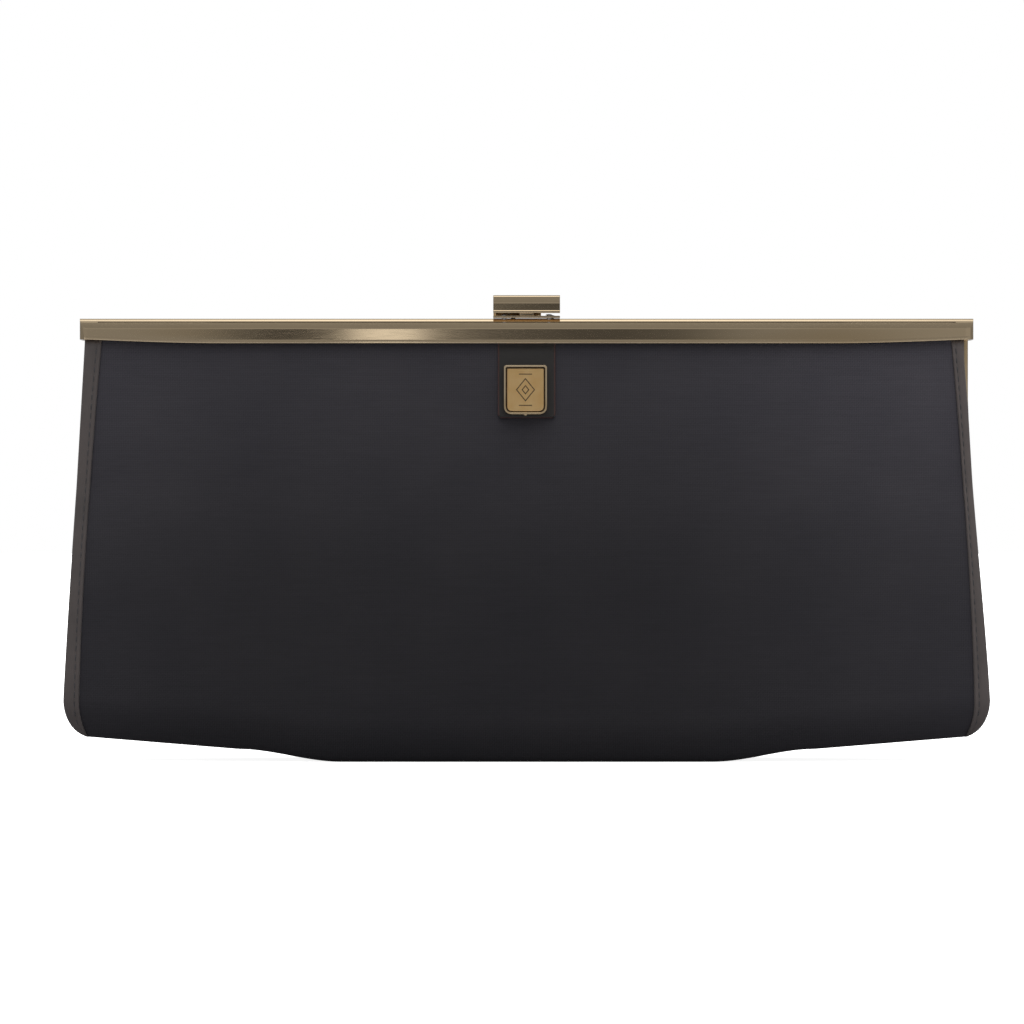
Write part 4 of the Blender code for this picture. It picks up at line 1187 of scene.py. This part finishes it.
def make_bar(face):
    """Half of the bar: a bevelled channel with a rolled lower edge and rounded ends."""
    outer = BAR_DEPTH
    lip = outer + BAR_LIP
    bevel_foot = BAR_TOP - BAR_BEVEL_DROP
    section = softened(
        (
            (BAR_INNER, BAR_BOTTOM, 0.1 * MM),
            (lip, BAR_BOTTOM, 0.3 * MM),
            (lip, BAR_BOTTOM + 0.7 * MM, 0.25 * MM),
            (outer, BAR_BOTTOM + 1.1 * MM, 0.2 * MM),
            (outer, bevel_foot, 0.45 * MM),
            (outer - 0.45 * BAR_BEVEL_DEPTH, BAR_TOP - 0.47 * BAR_BEVEL_DROP, 1.2 * MM),
            (outer - BAR_BEVEL_DEPTH, BAR_TOP, 0.8 * MM),
            (BAR_INNER, BAR_TOP, 0.25 * MM),
        ),
        steps=5,
    )
    name = FACE_NAMES[face] + "_bar"
    reach = 0.51 * BAR_LENGTH
    bar = prism(name, [(face * y, z) for y, z in section], -reach, reach, [GILT])
    half_length = BAR_LENGTH / 2
    plan_corners = []
    for a, b in ((1, -1), (1, 1), (-1, 1), (-1, -1)):
        plan_corners.append((a * half_length, b * (lip + 0.05 * MM), BAR_END_RADIUS))
    plan = prism(
        "plan",
        softened(plan_corners, steps=8),
        BAR_BOTTOM - 10 * MM,
        BAR_TOP + 10 * MM,
        [GILT],
        lambda a, b, across: Vector((a, b, across)),
    )
    carve(bar, plan, "INTERSECT")
    walls = sorted((face * (BAR_DEPTH - BAR_WALL), face * (BAR_INNER + BAR_WALL)))
    slot = box_piece(
        "slot",
        (-SLOT_HALF_LENGTH, walls[0], BAR_BOTTOM - 4 * MM),
        (SLOT_HALF_LENGTH, walls[1], BAR_TOP - BAR_WALL),
        [DULL_GILT],
    )
    carve(bar, slot)
    shape = bmesh.new()
    shape.from_mesh(bar.data)
    for step in range(BAR_LIFT_CUTS):
        for side in (LEFT, RIGHT):
            parts = list(shape.verts) + list(shape.edges) + list(shape.faces)
            x = side * mix(BAR_LIFT_START, 147 * MM, step / (BAR_LIFT_CUTS - 1))
            bmesh.ops.bisect_plane(shape, geom=parts, plane_co=(x, 0, 0), plane_no=(1, 0, 0))
    for vertex in shape.verts:
        if vertex.co.z < BAR_BOTTOM + 1.2 * MM:
            share = max(abs(vertex.co.x) - BAR_LIFT_START, 0) / (45 * MM)
            vertex.co.z += BAR_END_LIFT * share**1.5
    shape.to_mesh(bar.data)
    shape.free()
    ease_edges(bar, 0.18 * MM, 2, 35)
    return give(bar, "pale_gold", HALVES[face], FACE_NAMES[face] + "_frame")


def make_arm(face, side):
    """A flat side arm, from the bar down to the round eye about the hinge line."""
    inside_bar = BAR_BOTTOM + 2.4 * MM
    points = [(ARM_FRONT, inside_bar)]
    first = math.acos(ARM_FRONT / EYE_RADIUS)
    last = math.acos(ARM_BACK / EYE_RADIUS)
    steps = 40
    for step in range(steps + 1):
        angle = mix(first, last - 2 * math.pi, step / steps)
        points.append((EYE_RADIUS * math.cos(angle), HINGE_Z + EYE_RADIUS * math.sin(angle)))
    points.append((ARM_BACK, inside_bar))
    near = side * ARM_INNER_X[face]
    far = side * (ARM_INNER_X[face] + ARM_THICKNESS)
    name = "{}_arm_{}".format(FACE_NAMES[face], SIDE_NAMES[side])
    arm = prism(name, [(face * y, z) for y, z in points], near, far, [GILT])
    margin = side * 1 * MM
    hole = rod_piece(
        "pin_hole", PIN_HOLE_RADIUS, (near - margin, 0, HINGE_Z), (far + margin, 0, HINGE_Z), [GILT]
    )
    carve(arm, hole)
    ease_edges(arm, 0.3 * MM, 3)
    give(arm, "pale_gold", HALVES[face])


# ---- Clasp ------------------------------------------------------------------------------------


def make_lever():
    """The bent cover of the clasp: two bands on its front and a rolled lip that meets the catch."""
    front = LEVER_LOW.y
    back = LEVER_HIGH.y
    bottom = LEVER_LOW.z
    top = LEVER_HIGH.z
    lip = bottom - LEVER_LIP_DROP
    section = softened(
        (
            (back, bottom + 0.3 * MM, 0.3 * MM),
            (back, top, 1.3 * MM),
            (front + 1.6 * MM, top, 0.8 * MM),
            (front + 0.24 * MM, top - 2.5 * MM, 0.5 * MM),
            (front + 0.2 * MM, lip + 0.9 * MM, 0.15 * MM),
            (front - 0.1 * MM, lip + 0.65 * MM, 0.2 * MM),
            (front - 0.1 * MM, lip, 0.3 * MM),
            (front + 0.8 * MM, lip, 0.1 * MM),
            (front + 1.6 * MM, lip + 0.2 * MM, 0.3 * MM),
        ),
        steps=6,
    )
    lever = prism("clasp_cover", section, LEVER_LOW.x, LEVER_HIGH.x, [GILT])
    room = top - LEVER_WALL
    open_back = LEVER_PIN_Z + 1.6 * MM
    inside = softened(
        (
            (front + 1.05 * MM, lip - 1 * MM, 0),
            (front + 1.2 * MM, top - 2.6 * MM, 0.4 * MM),
            (front + 2.2 * MM, room, 0.5 * MM),
            (back - LEVER_WALL, room, 0.5 * MM),
            (back - LEVER_WALL, open_back, 0),
            (back + 1 * MM, open_back, 0),
            (back + 1 * MM, lip - 1 * MM, 0),
        )
    )
    cavity = prism("inside", inside, LEVER_LOW.x + LEVER_WALL, LEVER_HIGH.x - LEVER_WALL, [DULL_GILT])
    carve(lever, cavity)
    reach = LEVER_HIGH.x + 1 * MM
    bore = rod_piece(
        "bore", 1 * MM, (-reach, LEVER_PIN_Y, LEVER_PIN_Z), (reach, LEVER_PIN_Y, LEVER_PIN_Z), [GILT]
    )
    carve(lever, bore)
    ease_edges(lever, 0.16 * MM, 2, 35)
    give(lever, "pale_gold", "lever", "clasp_lever")


def make_clasp_fittings():
    """The catch with its post, and the base plate with two lugs and an upturned back edge."""
    for node, name, body in (
        ("front_catch", "catch_with_post", HALVES[FRONT]),
        ("clasp_base_plate", "clasp_base_with_lugs", HALVES[REAR]),
    ):
        low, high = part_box(node)
        top = low.z + CLASP_PLATE
        parts = [box_piece("plate", low, (high.x, high.y, top), [GILT])]
        if node == "front_catch":
            outline = (
                (-CATCH_POST_FRONT, top, 0),
                (-CATCH_POST_BACK, top, 0),
                (-CATCH_POST_BACK - 1 * MM, high.z, 0.3 * MM),
                (-CATCH_POST_FRONT, high.z, 0.5 * MM),
            )
            half = CATCH_POST_HALF_WIDTH
            parts.append(prism("post", softened(outline), -half, half, [GILT]))
        else:
            for left in LUG_LEFT_X:
                outline = (
                    (LEVER_PIN_Y - LUG_RADIUS, top, 0),
                    (LEVER_PIN_Y + LUG_RADIUS, top, 0),
                    (LEVER_PIN_Y + LUG_RADIUS, high.z, LUG_RADIUS - 0.01 * MM),
                    (LEVER_PIN_Y - LUG_RADIUS, high.z, LUG_RADIUS - 0.01 * MM),
                )
                parts.append(prism("lug", softened(outline), left, left + LUG_THICKNESS, [GILT]))
            outline = (
                (high.y - BACK_EDGE, top, 0),
                (high.y, top, 0),
                (high.y, BACK_EDGE_TOP, 0.2 * MM),
                (high.y - BACK_EDGE, BACK_EDGE_TOP, 0.1 * MM),
            )
            right = LUG_LEFT_X[1] + LUG_THICKNESS
            parts.append(prism("back_edge", softened(outline), low.x, right, [DULL_GILT]))
        parts[0].name = name
        give(ease_edges(join(parts), 0.13 * MM), "pale_gold", body, node)
    pin = rod_piece(
        "clasp_hinge_pin",
        0.7 * MM,
        (LEVER_LOW.x + 0.2 * MM, LEVER_PIN_Y, LEVER_PIN_Z),
        (LEVER_HIGH.x - 0.2 * MM, LEVER_PIN_Y, LEVER_PIN_Z),
        [STEEL],
    )
    give(ease_edges(pin, 0.12 * MM), "steel", HALVES[REAR], "clasp_pin")


def make_hinge_rivets():
    """The rivets through the arms' eyes, on the hinge line."""
    for side in (LEFT, RIGHT):
        name = "hinge_pin_" + SIDE_NAMES[side]
        rivet = refined_copy(name, "frame_rivet_" + SIDE_NAMES[side], [GILT], 0.12 * MM)
        give(rivet, "pale_gold", "bag", name)


def finish_kept_nodes():
    """Better materials on the CAD nodes that stay as they are."""
    for node in frame["nodes"].values():
        name = node.name
        finish = BAG_BOARD if "board" in name else STEEL
        for holder in node.material_slots:
            holder.material = finish


# ---- Studio -----------------------------------------------------------------------------------


def add_ramp(tree, value, stops):
    """Greys along a value of 0 to 1, from (position, brightness) stops."""
    ramp = add_node(tree, "ValToRGB", {0: value})
    elements = ramp.color_ramp.elements
    while len(elements) < len(stops):
        elements.new(0.5)
    for element, (position, brightness) in zip(elements, stops):
        element.position = position
        element.color = (brightness, brightness, brightness, 1)
    return ramp, 0


# What polished metal sees by height: grey walls, then the bright ceiling.
WALLS = ((0, 0.2), (0.2, 0.22), (0.33, 0.36), (0.5, 0.24), (0.84, 0.22), (0.93, 0.26))
WALLS += ((0.98, 0.8), (1, 1.8))
# Cards and flags in front of the bar, left to right, seen only low down and in front.
CARDS = ((0, 1.25), (0.2, 1.15), (0.27, 0.3), (0.34, 0.35), (0.36, 4.6), (0.408, 4.4))
CARDS += ((0.425, 0.7), (0.5, 0.45), (0.58, 0.3), (0.65, 0.42), (0.72, 1), (1, 1.5))
# What lights cloth and leather by height: a large soft source overhead.
SOFT_LIGHT = ((0.0, 0.3), (0.5, 0.7), (0.75, 1.6), (1.0, 3.4))
WHITE = (1, 1, 1, 1)
FLOOR_RADIUS = 6


def make_studio():
    """A pale floor, white surroundings, and soft light that metal sees as cards and dark flags."""
    world = bpy.data.worlds.new("studio")
    bpy.context.scene.world = world
    world.use_nodes = True
    tree = world.node_tree
    tree.nodes.clear()
    way = add_node(tree, "SeparateXYZ", {0: (add_node(tree, "TexCoord"), "Generated")})
    cards = add_ramp(tree, spread(tree, (way, "X"), 0, 1, -0.15, 0.15), CARDS)
    low = spread(tree, (way, "Z"), 0, 1, 0.25, 0.15)
    ahead = spread(tree, (way, "Y"), 0, 1, -0.4, -0.7)
    where = add_node(tree, "Math", {0: low, 1: ahead}, operation="MULTIPLY")
    carded = blend(tree, (where, 0), WHITE, cards)
    gloss = blend(tree, 1, add_ramp(tree, (way, "Z"), WALLS), carded, "MULTIPLY")
    # The soft light is a little stronger on the right.
    right = spread(tree, (way, "X"), 0.8, 1.25, -1, 1)
    soft = blend(tree, 1, add_ramp(tree, (way, "Z"), SOFT_LIGHT), right, "MULTIPLY")
    ray = add_node(tree, "LightPath")
    lit = blend(tree, (ray, "Is Glossy Ray"), soft, gloss)
    seen = blend(tree, (ray, "Is Camera Ray"), lit, WHITE)
    background = add_node(tree, "Background", {"Color": seen})
    add_node(tree, "OutputWorld", {"Surface": (background, 0)})

    sweep = bmesh.new()
    bmesh.ops.create_circle(sweep, cap_ends=True, segments=96, radius=FLOOR_RADIUS)
    # The paper itself is bright, but throws little light back up at the purse.
    material, tree, shader = start_finish("white_paper_sweep", "#f2f2f2", 0.9)
    tree.nodes.remove(shader)
    ray = add_node(tree, "LightPath")
    lit = add_node(tree, "BsdfDiffuse", {"Color": paint("#f4f4f4")})
    glow = add_node(tree, "Emission", {"Strength": 0.9})
    bright = add_node(tree, "AddShader", {0: (lit, 0), 1: (glow, 0)})
    subdued = add_node(tree, "BsdfDiffuse", {"Color": paint("#8c8c8e")})
    shares = {0: (ray, "Is Camera Ray"), 1: (subdued, 0), 2: (bright, 0)}
    connect(tree, tree.nodes["Material Output"], Surface=(add_node(tree, "MixShader", shares), 0))
    settle("studio_floor", sweep, [material])

    bpy.context.scene.view_settings.view_transform = "Standard"


add_camera()
make_body_cloth()
make_base_cloth()
make_strips()
make_gussets()
make_lining_leaves()
make_lining_floor()
make_slip_pocket()
make_patch()
make_plaque()
for half in (FRONT, REAR):
    make_bar(half)
    for end in (LEFT, RIGHT):
        make_arm(half, end)
make_lever()
make_clasp_fittings()
make_hinge_rivets()
finish_kept_nodes()
make_studio()
